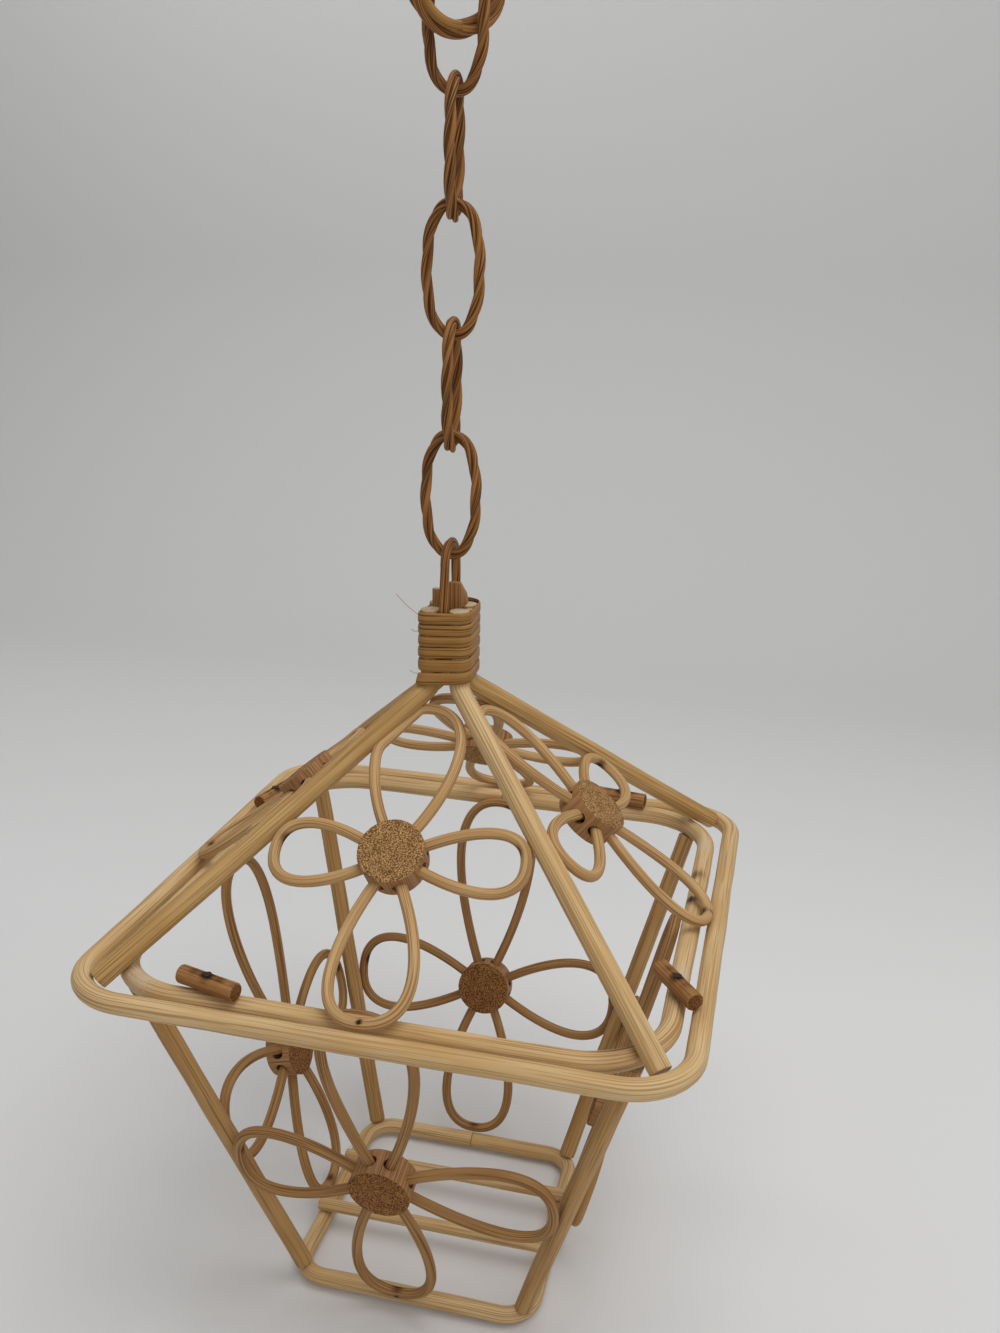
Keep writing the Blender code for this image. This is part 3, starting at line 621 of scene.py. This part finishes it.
def even_points(points, spacing):
    """Points at even steps along a line of points."""
    total = path_length(points)
    count = max(2, round(total / spacing))
    found = [points[0].copy()]
    place = 0
    passed = 0.0
    for index in range(1, count):
        wanted = total * index / count
        while passed + (points[place + 1] - points[place]).length < wanted:
            passed += (points[place + 1] - points[place]).length
            place += 1
        step = points[place + 1] - points[place]
        found.append(points[place] + step * ((wanted - passed) / step.length))
    return found + [points[-1].copy()]


def swayed(points, seed, sway):
    """Stray from a line by a smooth small amount."""
    strayed = []
    for point in points:
        strayed.append(point + sway * noise.noise_vector(point * SWAYS_ALONG + Vector((seed, 0, 0))))
    return strayed


def pole(name, points, radius, skin, seed, sizes, sides=24, spacing=0.0025, edge=0.0004, sway=1.0,
         cut="cut_end"):
    """A rattan pole along a line of points."""
    length = path_length(points)
    stick = round_stick(name, length, radius, sides, spacing, edge)
    uneven(stick, seed, sizes.swell_share)
    finish_stick(stick, skin, seed, cut)
    bend(stick, swayed(even_points(points, spacing), seed, sizes.sway * sway))
    return stick


def join(name, pieces):
    select_only(pieces[0])
    for piece in pieces:
        piece.select_set(True)
    bpy.ops.object.join()
    pieces[0].name = name
    return pieces[0]


def settle(piece, body, slot, *nodes):
    """Tell the frame what a finished piece moves with, and hide the nodes that it stands for. The slot
    argument, its finish, is not used.
    """
    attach(piece, body)
    if nodes:
        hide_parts(*nodes)
    return piece


def turn_round(piece, quarters):
    """Turn a piece about the upright axis, as from the front side to another side."""
    select_only(piece)
    piece.rotation_euler = (0, 0, quarters * QUARTER)
    bpy.ops.object.transform_apply(rotation=True)


def scorch(piece, centre, radius, strength):
    """Darken a place on a piece, most at its centre; a strength below nothing rubs it pale instead."""
    marks = piece.data.attributes["mark"].data
    for vertex, item in zip(piece.data.vertices, marks):
        near = 1 - (vertex.co - centre).length / radius
        if near > 0:
            value = strength * near * near * (3 - 2 * near)
            item.value = max(item.value, value) if strength > 0 else min(item.value, value)


def arc(centre, first, second, radius, start, stop, steps):
    points = []
    for step in range(steps + 1):
        angle = start + (stop - start) * step / steps
        points.append(centre + radius * (math.cos(angle) * first + math.sin(angle) * second))
    return points


# Chain

def twisted_rod(name, points, rod, strands, turns, seed):
    """Strands laid side by side, twisted together, and bent along a line of points."""
    strand_radius = rod / (1 + 1 / math.sin(math.pi / strands))
    lay = rod - strand_radius
    length = path_length(points)
    sticks = []
    for number in range(strands):
        stick = round_stick(f"{name}_{number}", length, strand_radius * STRAND_FULLNESS, 14, 0.0011, 0.0003)
        uneven(stick, seed + 5.3 * number, 0.05, 0.05)
        finish_stick(stick, "twist", seed + 1.7 * number)
        angle = 2 * math.pi * number / strands
        stick.location = (lay * math.cos(angle), lay * math.sin(angle), 0)
        select_only(stick)
        bpy.ops.object.transform_apply(location=True)
        sticks.append(stick)
    rope = join(name, sticks)
    # Painted shade: the mark darkens the strands where they lie in the lay, near the rod's core.
    for vertex, item in zip(rope.data.vertices, rope.data.attributes["mark"].data):
        out = math.hypot(vertex.co.x, vertex.co.y) / rod
        item.value = LAY_PAINTED_SHADE * min(1.0, max(0.0, (LAY_SHARE - out) / LAY_FADE))
    apply_modifier(rope, "SIMPLE_DEFORM", deform_method="TWIST", deform_axis="Z", angle=2 * math.pi * turns)
    bend(rope, points)
    return rope


def oval_line(steps=160):
    """Once round a link in its own plane, from the foot of its lower bow."""
    power = 2 / LINK_OVAL_POWER
    points = []
    for step in range(steps + 1):
        angle = -QUARTER + 2 * math.pi * step / steps
        across = math.copysign(abs(math.cos(angle)) ** power, math.cos(angle))
        along = math.copysign(abs(math.sin(angle)) ** power, math.sin(angle))
        points.append(Vector((LINK_HALF_WIDTH * across, 0, LINK_HALF_LENGTH * along)))
    points[-1] = points[0] + (points[-2] - points[0]) * 0.1
    return even_points(points, 0.001)


class PLANTER_OT_chain(bpy.types.Operator):
    """Model the twisted links and the large ring over the first"""

    bl_idname = "planter.chain"
    bl_label = "Chain and ring"

    def execute(self, context):
        sizes = context.scene.planter_sizes
        for number in range(1, 6):
            centre = LINK_TOP - LINK_HALF_LENGTH - (number - 1) * LINK_PITCH
            line = [point + centre * UP for point in oval_line()]
            link = twisted_rod(f"twisted_link_{number}", line, LINK_ROD, sizes.strands, sizes.link_turns,
                               number)
            turn_round(link, (number - 1) % 2 + LINK_SLACK_DEGREES[number - 1] / 90)
            body = "top_link" if number == 1 else f"link_{number}"
            settle(link, body, "twisted_rattan", f"chain_link_{number}")
        first = Vector((math.cos(RING_TURN), math.sin(RING_TURN), 0))
        circle = arc(RING_CENTRE_Z * UP, first, UP, RING_RADIUS, QUARTER + RING_SPLIT,
                     5 * QUARTER - RING_SPLIT, 96)
        ring = twisted_rod("twisted_ring", even_points(circle, 0.0011), RING_ROD, sizes.strands,
                           sizes.ring_turns, 9.4)
        centre = RING_CENTRE_Z * UP + RING_END_OUT * first.cross(UP)
        lap = arc(centre, first, UP, RING_RADIUS - RING_END_IN, RING_END_START, RING_END_STOP, 60)
        loose_end = pole("ring_end", even_points(lap, 0.0011), RING_END_ROD, "cane", 12.3, sizes, sides=18,
                         spacing=0.0011, sway=0.5)
        ring = join("twisted_ring", [ring, loose_end])
        settle(ring, "ring", "twisted_rattan", "hanging_ring")
        return {"FINISHED"}


class PLANTER_OT_loop(bpy.types.Operator):
    """Model the hanging loop, an upturned U of twisted strands"""

    bl_idname = "planter.loop"
    bl_label = "Hanging loop"

    def execute(self, context):
        across = Vector((0, -1, 0))
        foot = CANE_TOP - LOOP_BURIED
        bow_z = LOOP_TOP - NESTED_OFFSET
        points = [NESTED_OFFSET * across + foot * UP]
        points += arc(bow_z * UP, across, UP, NESTED_OFFSET, 0, math.pi, 40)
        points += [-NESTED_OFFSET * across + foot * UP]
        loop = twisted_rod("twisted_loop", even_points(points, 0.0011), LOOP_ROD, 3, LOOP_TURNS, 4.2)
        settle(loop, "lantern", "twisted_rattan", "hanging_loop")
        return {"FINISHED"}


# Bundle

def binding_half(angle):
    """Distance from the axis to the inside of the cane, at an angle round the bundle."""
    corner = CANE_INNER_HALF - BUNDLE_SPACING
    flat = CANE_INNER_HALF - corner
    long_side = max(abs(math.cos(angle)), abs(math.sin(angle)))
    short_side = min(abs(math.cos(angle)), abs(math.sin(angle)))
    reach = CANE_INNER_HALF / long_side
    if short_side * reach <= flat:
        return reach
    # Past the flat, the ray meets the corner's arc, whose centre is at flat, flat.
    along = (long_side + short_side) * flat
    return along + math.sqrt(max(0.0, along * along - 2 * flat * flat + corner * corner))


def along_row(values, place):
    """Value at a place along a row, straight from one to the next and on past its ends."""
    index = max(0, min(len(values) - 2, math.floor(place)))
    return values[index] + (values[index + 1] - values[index]) * (place - index)


def make_cane():
    """Flat cane wound round the bundle from its front left corner, slightly uneven from turn to turn."""
    body = bmesh.new()
    rows = []
    grains = []
    for index in range(round(CANE_TURNS * CANE_STEPS) + 1):
        travel = index / CANE_STEPS
        turn = travel - CANE_FRONT_SHARE
        width = along_row(CANE_WIDTHS, turn) * (1 + 0.03 * noise.noise(Vector((travel * 4, 1, 2))))
        angle = FIRST_CORNER + 2 * math.pi * travel
        outward = Vector((math.cos(angle), math.sin(angle), 0))
        loose = max(0.0, 1 - travel / CANE_LOOSE_SHARE) ** 1.5
        middle = CANE_FOOT + along_row(CANE_LEVELS, turn) + CANE_WIDTHS[0] / 2
        middle += CANE_BULGE * noise.noise(Vector((travel * 3, 5, 1))) - CANE_SAG * loose
        bulge = CANE_BULGE * (1 + noise.noise(Vector((travel * 9, 2, 7))))
        row = []
        for out, high in CANE_SECTION:
            flare = CANE_FLARE * loose * (1 - high)
            reach = binding_half(angle) + out * CANE_THICKNESS + bulge + flare
            row.append(body.verts.new(outward * reach + (middle + high * width) * UP))
            grains.append(Vector((high * width, out * CANE_THICKNESS, travel * CANE_TURN_LENGTH)))
        rows.append(row)
    for low, high in zip(rows, rows[1:]):
        for side in range(len(CANE_SECTION)):
            after = (side + 1) % len(CANE_SECTION)
            body.faces.new((low[side], high[side], high[after], low[after]))
    body.faces.new(rows[0])
    body.faces.new(list(reversed(rows[-1])))
    bmesh.ops.recalc_face_normals(body, faces=body.faces[:])
    mesh = bpy.data.meshes.new("wound_cane")
    body.to_mesh(mesh)
    body.free()
    mesh.materials.append(MATERIALS["cane"])
    mesh.attributes.new("mark", "FLOAT", "POINT")
    grain = mesh.attributes.new("grain", "FLOAT_VECTOR", "POINT")
    for item, place in zip(grain.data, grains):
        item.vector = place
    # Painted shade: the points of the cane's inner side, against the bundle, are darkened.
    for item, place in zip(mesh.attributes["mark"].data, grains):
        item.value = CANE_EDGE_PAINTED_SHADE if place.y == 0.0 else 0.0
    cane = bpy.data.objects.new("wound_cane", mesh)
    bpy.context.scene.collection.objects.link(cane)
    select_only(cane)
    bpy.ops.object.shade_smooth_by_angle(angle=math.radians(60))
    return cane


class PLANTER_OT_bundle(bpy.types.Operator):
    """Model the cane binding, the wedge and the filler sticks at the top of the roof"""

    bl_idname = "planter.bundle"
    bl_label = "Bundle and binding"

    def execute(self, context):
        sizes = context.scene.planter_sizes
        pieces = [make_cane()]
        for number, (start, end) in enumerate(LOOSE_FIBRES):
            points = [start, (start + end) / 2 - FIBRE_SAG * UP, end]
            pieces.append(pole(f"fibre_{number}", points, FIBRE_ROD, "button", 7 + number, sizes, sides=6,
                               edge=0.00003, sway=0))
        settle(join("wound_cane", pieces), "lantern", "cane", "cane_binding")
        for name, place, head in FILLERS:
            points = [Vector((place, 0, CANE_TOP - FILLER_BURIED)), Vector((place, 0, CANE_TOP + head))]
            stick = pole(f"filler_{name}", points, FILLER_ROD, "button", 22 + 100 * place, sizes, sides=18,
                         sway=0)
            settle(stick, "lantern", "rattan_pole", f"filler_stick_{name}")
        settle(self.wedge(), "lantern", "sawn_rattan", "bundle_wedge")
        return {"FINISHED"}

    def wedge(self):
        """A cube drawn out to a wedge: broad above the rib heads, narrow at its head and its toe."""
        bottom = WEDGE_TOE - 0.001
        bpy.ops.object.select_all(action="DESELECT")
        bpy.ops.mesh.primitive_cube_add(size=1, location=(0, 0, CANE_TOP + (WEDGE_HEAD + bottom) / 2))
        wedge = bpy.context.object
        wedge.name = "sawn_wedge"
        wedge.scale = (2 * WEDGE_BROAD_HALF, WEDGE_THICKNESS, WEDGE_HEAD - bottom)
        bpy.ops.object.transform_apply(location=True, scale=True)
        bpy.ops.object.mode_set(mode="EDIT")
        pick(wedge, "EDGE", is_lengthwise)
        bpy.ops.mesh.subdivide(number_cuts=12)
        bpy.ops.object.mode_set(mode="OBJECT")
        for vertex in wedge.data.vertices:
            above = vertex.co.z - CANE_TOP
            half = WEDGE_BROAD_HALF
            middle = WEDGE_BROAD_MIDDLE
            if above > WEDGE_SHOULDER:
                share = (above - WEDGE_SHOULDER) / (WEDGE_HEAD - WEDGE_SHOULDER)
                half += (WEDGE_HEAD_HALF - WEDGE_BROAD_HALF) * share
            elif above < WEDGE_HIP:
                half = WEDGE_HELD_HALF + (WEDGE_TOE_HALF - WEDGE_HELD_HALF) * above / WEDGE_TOE
            if above < WEDGE_HIP:
                middle = WEDGE_HELD_MIDDLE
            vertex.co.x = middle + math.copysign(half, vertex.co.x)
        apply_modifier(wedge, "BEVEL", width=0.0004, segments=2, limit_method="ANGLE")
        wedge.data.materials.append(MATERIALS["button"])
        keep_grain(wedge, 8)
        select_only(wedge)
        bpy.ops.object.shade_smooth_by_angle(angle=math.radians(40))
        return wedge


# Poles of the roof and the basket

def diagonal_direction(corner_index):
    angle = FIRST_CORNER + corner_index * QUARTER
    return Vector((math.cos(angle), math.sin(angle), 0))


def diagonal_place(direction, place):
    """A point from how far out along a diagonal and how far above the eave's level it is."""
    out, rise = place
    return out * direction + (EAVE_Z + rise) * UP


def square_line(half, corner, height):
    """Once round a square with arc corners, from the middle of the back rail and back to it."""
    points = [Vector((0, half, height))]
    for quarter in range(1, 5):
        turn = Matrix.Rotation(quarter * QUARTER, 3, "Z")
        centre = turn @ Vector((half - corner, half - corner, 0)) + height * UP
        points += arc(centre, turn @ Vector((1, 0, 0)), turn @ Vector((0, 1, 0)), corner, 0, QUARTER, 20)
    points.append(Vector((JOINT_GAP, half, height)))
    return points


def square_ring(name, node, half, corner, rod, height, seed, sizes):
    ring = pole(name, square_line(half, corner, height), rod, "pole", seed, sizes)
    return settle(ring, "lantern", "rattan_pole", node)


class PLANTER_OT_roof(bpy.types.Operator):
    """Model the four ribs and the eave ring that they butt against"""

    bl_idname = "planter.roof"
    bl_label = "Roof poles"

    def execute(self, context):
        sizes = context.scene.planter_sizes
        square_ring("eave_pole", "eave_ring", EAVE_HALF, EAVE_CORNER, RING_POLE_ROD, EAVE_Z, 31, sizes)
        for corner_index, corner in enumerate(CORNERS):
            direction = diagonal_direction(corner_index)
            head = RIB_SHANK_OUT * direction + RIB_HEAD_Z * UP
            centre = diagonal_place(direction, (RIB_SHANK_OUT + RIB_BEND_RADIUS, RIB_BEND_RISE))
            bow = arc(centre, -direction, -UP, RIB_BEND_RADIUS, 0, RIB_BEND_TURN, 4)
            points = [head, *bow, diagonal_place(direction, RIB_FOOT)]
            skin = RIB_SKINS[corner_index]
            rib = pole(f"rib_{corner}", points, RIB_ROD, skin, 41 + 3 * corner_index, sizes)
            settle(rib, "lantern", "rattan_pole", f"roof_rib_{corner}")
        return {"FINISHED"}


class PLANTER_OT_basket(bpy.types.Operator):
    """Model the basket's rim, posts, base ring and floor bars"""

    bl_idname = "planter.basket"
    bl_label = "Basket poles"

    def execute(self, context):
        sizes = context.scene.planter_sizes
        rim = square_ring("rim_pole", "basket_rim", RIM_HALF, RIM_CORNER, RING_POLE_ROD, EAVE_Z, 57, sizes)
        for x, y, radius, strength in RIM_MARKS:
            scorch(rim, Vector((x, y, EAVE_Z + 0.8 * RING_POLE_ROD)), radius, strength)
        square_ring("base_pole", "base_ring", BASE_HALF, BASE_CORNER, BASE_ROD, BASE_Z, 63, sizes)
        for corner_index, corner in enumerate(CORNERS):
            direction = diagonal_direction(corner_index)
            points = [diagonal_place(direction, POST_HEAD), diagonal_place(direction, POST_FOOT)]
            # The posts take the browner copy of the pole: painted shade.
            post = pole(f"post_{corner}", points, POST_ROD, "post", 71 + 3 * corner_index, sizes)
            settle(post, "lantern", "rattan_pole", f"basket_post_{corner}")
        height = BASE_Z + BASE_ROD + BAR_ROD + BAR_GAP
        for name, place in (("front", -BAR_PLACE), ("back", BAR_PLACE)):
            points = [Vector((-BAR_REACH, place, height)), Vector((BAR_REACH, place, height))]
            bar = pole(f"bar_{name}", points, BAR_ROD, "pole", 90 + 100 * place, sizes, sides=18)
            settle(bar, "lantern", "rattan_pole", f"floor_bar_{name}")
        return {"FINISHED"}


# Flowers

def petal_line(petal, steps=60):
    """One petal: out from the hub to the tip and back, as places along, across and off its plane."""
    reach, half_width, fullness_share, lift = petal
    controls = (
        Vector((PETAL_START * math.cos(PETAL_SPREAD), PETAL_START * math.sin(PETAL_SPREAD), 0)),
        Vector((LEG_PULL_SHARE * reach, half_width, 0)),
        Vector((reach, fullness_share * half_width, 0)),
        Vector((reach, 0, 0)),
    )
    half = []
    for step in range(steps // 2 + 1):
        travel = 2 * step / steps
        rest = 1 - travel
        weights = (rest ** 3, 3 * rest ** 2 * travel, 3 * rest * travel ** 2, travel ** 3)
        point = Vector((0, 0, 0))
        for weight, control in zip(weights, controls):
            point += weight * control
        point.z = lift * (point.x / reach) ** 4
        half.append(point)
    return half + [Vector((point.x, -point.y, point.z)) for point in reversed(half[:-1])]


def flower_axes(rise, tilt):
    """Across, up and outward for a flower on the front side, tilted in its own plane."""
    face = Vector((1, 0, 0)).cross(rise)
    turn = Matrix.Rotation(tilt, 3, face)
    return turn @ Vector((1, 0, 0)), turn @ rise, face


def rib_room(height):
    """How far from the middle of its face a petal can lie at a height before it meets a rib."""
    out, rise = RIB_FOOT
    out -= math.tan(RIB_BEND_TURN) * (height - EAVE_Z - rise)
    return out / DIAGONAL - RIB_ROD - PETAL_ROD


def make_petals(name, origin, axes, petals, skin, seed, sizes):
    """Four bent strands, each out of the hub and back into it, scorched where they touch the poles."""
    across, rise, face = axes
    strands = []
    for number, petal in enumerate(petals):
        turn = number * QUARTER
        out = math.cos(turn) * across + math.sin(turn) * rise
        aside = -math.sin(turn) * across + math.cos(turn) * rise
        points = [origin + flat.x * out + flat.y * aside + flat.z * face for flat in petal_line(petal)]
        kinked = name == KINKED_FLOWER and number == 1
        if kinked:
            for point in points:
                free = point.x + KINKED_LEAN * (point - origin).length
                point.x = max(-rib_room(point.z), min(rib_room(point.z), free))
            kink = min(points, key=lambda point: point.x)
        strand = pole(f"{name}_{number}", points, PETAL_ROD, skin, seed + 2.3 * number, sizes, sides=16,
                      spacing=0.0022, edge=0.0002, sway=0.8)
        tip = origin + petal[0] * out + petal[3] * face
        burn = PETAL_ROD * (-1.5 * out + 2.2 * BURN_SIDES[number] * aside - 0.4 * face)
        scorch(strand, tip + burn, BURN_RADIUS, 0.95)
        if kinked:
            scorch(strand, kink - Vector((PETAL_ROD, 0, 0)), TEAR_RADIUS, 0.6)
        if number == 3:
            scorch(strand, tip + PETAL_ROD * face, NAIL_MARK_RADIUS, 1.0)
        strands.append(strand)
    return join(name, strands)


def make_hub(name, origin, axes, face_skin, seed):
    """A disc sawn from thick rattan, drilled in its side for the petals' legs."""
    across, rise, face = axes
    bpy.ops.object.select_all(action="DESELECT")
    bpy.ops.mesh.primitive_cylinder_add(vertices=64, radius=HUB_RADIUS, depth=HUB_THICKNESS)
    hub = bpy.context.object
    hub.name = name
    apply_modifier(hub, "BEVEL", width=HUB_BEVEL, segments=3, limit_method="ANGLE")
    for vertex in hub.data.vertices:
        angle = math.atan2(vertex.co.y, vertex.co.x)
        lumpy = 1 + HUB_LUMP * noise.noise(Vector((1.3 * math.cos(angle), 1.3 * math.sin(angle), seed)))
        vertex.co.x *= lumpy
        vertex.co.y *= lumpy
    cutters = []
    for number in range(4):
        for side in (-1, 1):
            turn = number * QUARTER
            lean = turn + side * DRILL_LEAN_SHARE * PETAL_SPREAD
            way = Vector((math.cos(lean), math.sin(lean), 0))
            start = turn + side * PETAL_SPREAD
            middle = PETAL_START * Vector((math.cos(start), math.sin(start), 0)) + DRILL_DEPTH / 2 * way
            bpy.ops.mesh.primitive_cylinder_add(vertices=20, radius=PETAL_ROD + DRILL_PLAY, depth=DRILL_DEPTH,
                                                location=middle,
                                                rotation=way.to_track_quat("Z", "Y").to_euler())
            cutters.append(bpy.context.object)
    hub.data.materials.append(MATERIALS["hub_side"])
    hub.data.materials.append(MATERIALS[face_skin])
    for poly in hub.data.polygons:
        poly.material_index = 1 if abs(poly.normal.z) > 0.6 else 0
    for cutter in cutters:
        cutter.data.materials.append(MATERIALS[face_skin])
        apply_modifier(hub, "BOOLEAN", operation="DIFFERENCE", solver="EXACT", object=cutter)
        bpy.data.objects.remove(cutter)
    keep_grain(hub, seed)
    hub.matrix_world = Matrix.Translation(origin) @ Matrix((across, rise, face)).transposed().to_4x4()
    select_only(hub)
    bpy.ops.object.transform_apply(location=True, rotation=True, scale=True)
    bpy.ops.object.shade_smooth_by_angle(angle=math.radians(40))
    return hub


class PLANTER_OT_flowers(bpy.types.Operator):
    """Model the eight flowers of bent strands and sawn hubs"""

    bl_idname = "planter.flowers"
    bl_label = "Flowers"

    def execute(self, context):
        sizes = context.scene.planter_sizes
        kinds = (
            ("roof", ROOF_ORIGIN, ROOF_RISE, ROOF_PETALS, "strand", "hub_face", 100,
             ROOF_FRONT_PETALS, ROOF_FRONT_SLIDE, ROOF_FRONT_TILT),
            # The basket's flowers take the browner copies of the core and the sawn face: painted shade.
            ("basket", BASKET_ORIGIN, BASKET_RISE, BASKET_PETALS, "low_strand", "low_hub_face", 150,
             BASKET_FRONT_PETALS, BASKET_FRONT_SLIDE, 0.0),
        )
        for kind, origin, rise, petals, skin, face_skin, first_seed, front_petals, slide, tilt in kinds:
            for side_index, side in enumerate(SIDES):
                seed = first_seed + 17 * side_index
                front = side_index == 0
                place = origin + Vector((slide if front else 0, 0, 0))
                axes = flower_axes(rise, tilt if front else 0.0)
                shapes = front_petals if front else petals
                strands = make_petals(f"{kind}_petals_{side}", place, axes, shapes, skin, seed, sizes)
                turn_round(strands, side_index)
                settle(strands, "lantern", "rattan_strand", f"{kind}_flower_{side}_petals")
                hub = make_hub(f"{kind}_hub_{side}", place, axes, face_skin, seed)
                turn_round(hub, side_index)
                settle(hub, "lantern", "sawn_rattan", f"{kind}_flower_{side}_hub")
        return {"FINISHED"}


class PLANTER_OT_buttons(bpy.types.Operator):
    """Model the scorched turn-buttons and finish their nails"""

    bl_idname = "planter.buttons"
    bl_label = "Turn-buttons"

    def execute(self, context):
        sizes = context.scene.planter_sizes
        for side_index, side in enumerate(SIDES):
            turn = side_index * QUARTER + BUTTON_RESTS[side_index]
            place = Matrix.Rotation(side_index * QUARTER, 3, "Z") @ Vector((-BUTTON_PLACE, -RIM_HALF, 0))
            place.z = BUTTON_HEIGHT
            way = Vector((math.cos(turn), math.sin(turn), 0))
            reach = BUTTON_LENGTH / 2 * way
            button = pole(f"button_{side}", [place - reach, place, place + reach], BUTTON_ROD, "button",
                          130 + side_index, sizes, sides=28, spacing=0.001, edge=0.0006, sway=0,
                          cut="button_end")
            for along, high, radius, strength in BUTTON_MARKS:
                scorch(button, place + along * reach + high * BUTTON_ROD * UP, radius, strength)
            settle(button, f"button_{side}", "sawn_rattan", f"turn_button_{side}")
            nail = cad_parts[f"button_nail_{side}"]
            nail.data.materials.clear()
            nail.data.materials.append(MATERIALS["nail"])
        return {"FINISHED"}


class PLANTER_OT_stage(bpy.types.Operator):
    """Set the pale floor and backdrop, the soft lights and the camera"""

    bl_idname = "planter.stage"
    bl_label = "Stage"

    def execute(self, context):
        self.sweep()
        self.lights()
        self.camera()
        return {"FINISHED"}

    def sweep(self):
        """Floor and wall in one sheet: an edge drawn back along the floor, curved, and up."""
        bpy.ops.object.select_all(action="DESELECT")
        bpy.ops.mesh.primitive_plane_add(size=1, location=(0, 0, CAD_BOX[0].z - FLOOR_GAP))
        sheet = bpy.context.object
        sheet.name = "stage_sweep"
        sheet.scale = (SHEET_WIDTH, SHEET_DEPTH, 1.0)
        bpy.ops.object.transform_apply(location=True, scale=True)
        bpy.ops.object.mode_set(mode="EDIT")
        steps = 24
        pick(sheet, "EDGE", lambda edge: all(vert.co.y > 0 for vert in edge.verts))
        for step in range(steps):
            low = QUARTER * step / steps
            high = QUARTER * (step + 1) / steps
            back = SHEET_BEND * (math.sin(high) - math.sin(low))
            rise = SHEET_BEND * (math.cos(low) - math.cos(high))
            bpy.ops.mesh.extrude_region_move(TRANSFORM_OT_translate={"value": (0, back, rise)})
        bpy.ops.mesh.extrude_region_move(TRANSFORM_OT_translate={"value": (0, 0, SHEET_HEIGHT)})
        bpy.ops.object.mode_set(mode="OBJECT")
        bpy.ops.object.shade_smooth()
        sheet.data.materials.append(self.paper())

    def paper(self):
        """Matt white background paper, with painted shade that makes it a little greyer towards the wall."""
        material, tree, shader = new_material("matt_background_paper", 0.9, 0.1)
        depth = wire(tree, "SeparateXYZ", {0: wire(tree, "TexCoord", {}, 3)}, 1)
        back = ramp(tree, depth, 0.3, 1.0, 0.0, 1.0)
        colour = mixed(tree, back, shade("#e4e4e4"), shade("#d1d1d0"))
        tree.links.new(colour, shader.inputs["Base Color"])
        return material

    def lights(self):
        for name, place, target, size, power in LIGHTS:
            bpy.ops.object.light_add(type="AREA", location=place)
            lamp = bpy.context.object
            lamp.name = f"{name}_softbox"
            lamp.data.size = size
            lamp.data.energy = power
            aim = Vector(target) - Vector(place)
            lamp.rotation_euler = aim.to_track_quat("-Z", "Y").to_euler()
        world = bpy.data.worlds.new("studio_room")
        bpy.context.scene.world = world
        world.use_nodes = True
        tree = world.node_tree
        surface = tree.nodes["Background"]
        path = tree.nodes.new("ShaderNodeLightPath")
        seen = wire(tree, "Math", {0: path.outputs["Is Camera Ray"], 1: path.outputs["Is Glossy Ray"]},
                    operation="MAXIMUM")
        seen = wire(tree, "Math", {0: seen, 1: path.outputs["Is Transmission Ray"]}, operation="MAXIMUM")
        colour = mixed(tree, seen, shade("#9a9a9a"), shade("#c8c8c7"))
        tree.links.new(colour, surface.inputs["Color"])

    def camera(self):
        bpy.ops.object.camera_add(location=CAMERA_PLACE)
        camera = bpy.context.object
        camera.name = "photo_camera"
        turn = Matrix.Identity(3)
        for angle, axis in zip(CAMERA_TURN, "ZXY"):
            turn @= Matrix.Rotation(angle, 3, axis)
        right, forward, high = turn.transposed()
        view = Matrix((right, high, -forward)).transposed().to_4x4()
        camera.matrix_world = Matrix.Translation(CAMERA_PLACE) @ view
        camera.data.sensor_fit = "AUTO"
        camera.data.sensor_width = CAMERA_SENSOR_MM
        camera.data.lens = CAMERA_LENS_MM
        bpy.context.scene.camera = camera
        bpy.context.scene.view_settings.view_transform = "Standard"


OPERATORS = (
    PLANTER_OT_chain,
    PLANTER_OT_loop,
    PLANTER_OT_bundle,
    PLANTER_OT_roof,
    PLANTER_OT_basket,
    PLANTER_OT_flowers,
    PLANTER_OT_buttons,
    PLANTER_OT_stage,
)


class PLANTER_PT_panel(bpy.types.Panel):
    """Lists the planter's pieces"""

    bl_idname = "PLANTER_PT_panel"
    bl_label = "Planter"
    bl_space_type = "VIEW_3D"
    bl_region_type = "UI"
    bl_category = "Planter"

    def draw(self, context):
        for group in (context.scene.planter_sizes, context.scene.planter_colours):
            for name in group.__annotations__:
                self.layout.prop(group, name)
        for operator in OPERATORS:
            self.layout.operator(operator.bl_idname)


CLASSES = (PlanterSizes, PlanterColours, *OPERATORS, PLANTER_PT_panel)


def register():
    for kind in CLASSES:
        bpy.utils.register_class(kind)
    bpy.types.Scene.planter_sizes = bpy.props.PointerProperty(type=PlanterSizes)
    bpy.types.Scene.planter_colours = bpy.props.PointerProperty(type=PlanterColours)


def unregister():
    del bpy.types.Scene.planter_colours
    del bpy.types.Scene.planter_sizes
    for kind in reversed(CLASSES):
        bpy.utils.unregister_class(kind)


def main():
    register()
    # Without a seed of its own, the noise that sways the poles would start from the clock.
    noise.seed_set(SWAY_SEED)
    make_materials(bpy.context.scene.planter_colours)
    for operator in OPERATORS:
        group, name = operator.bl_idname.split(".")
        getattr(getattr(bpy.ops, group), name)()
    bpy.context.view_layer.update()


if __name__ == "__main__":
    main()
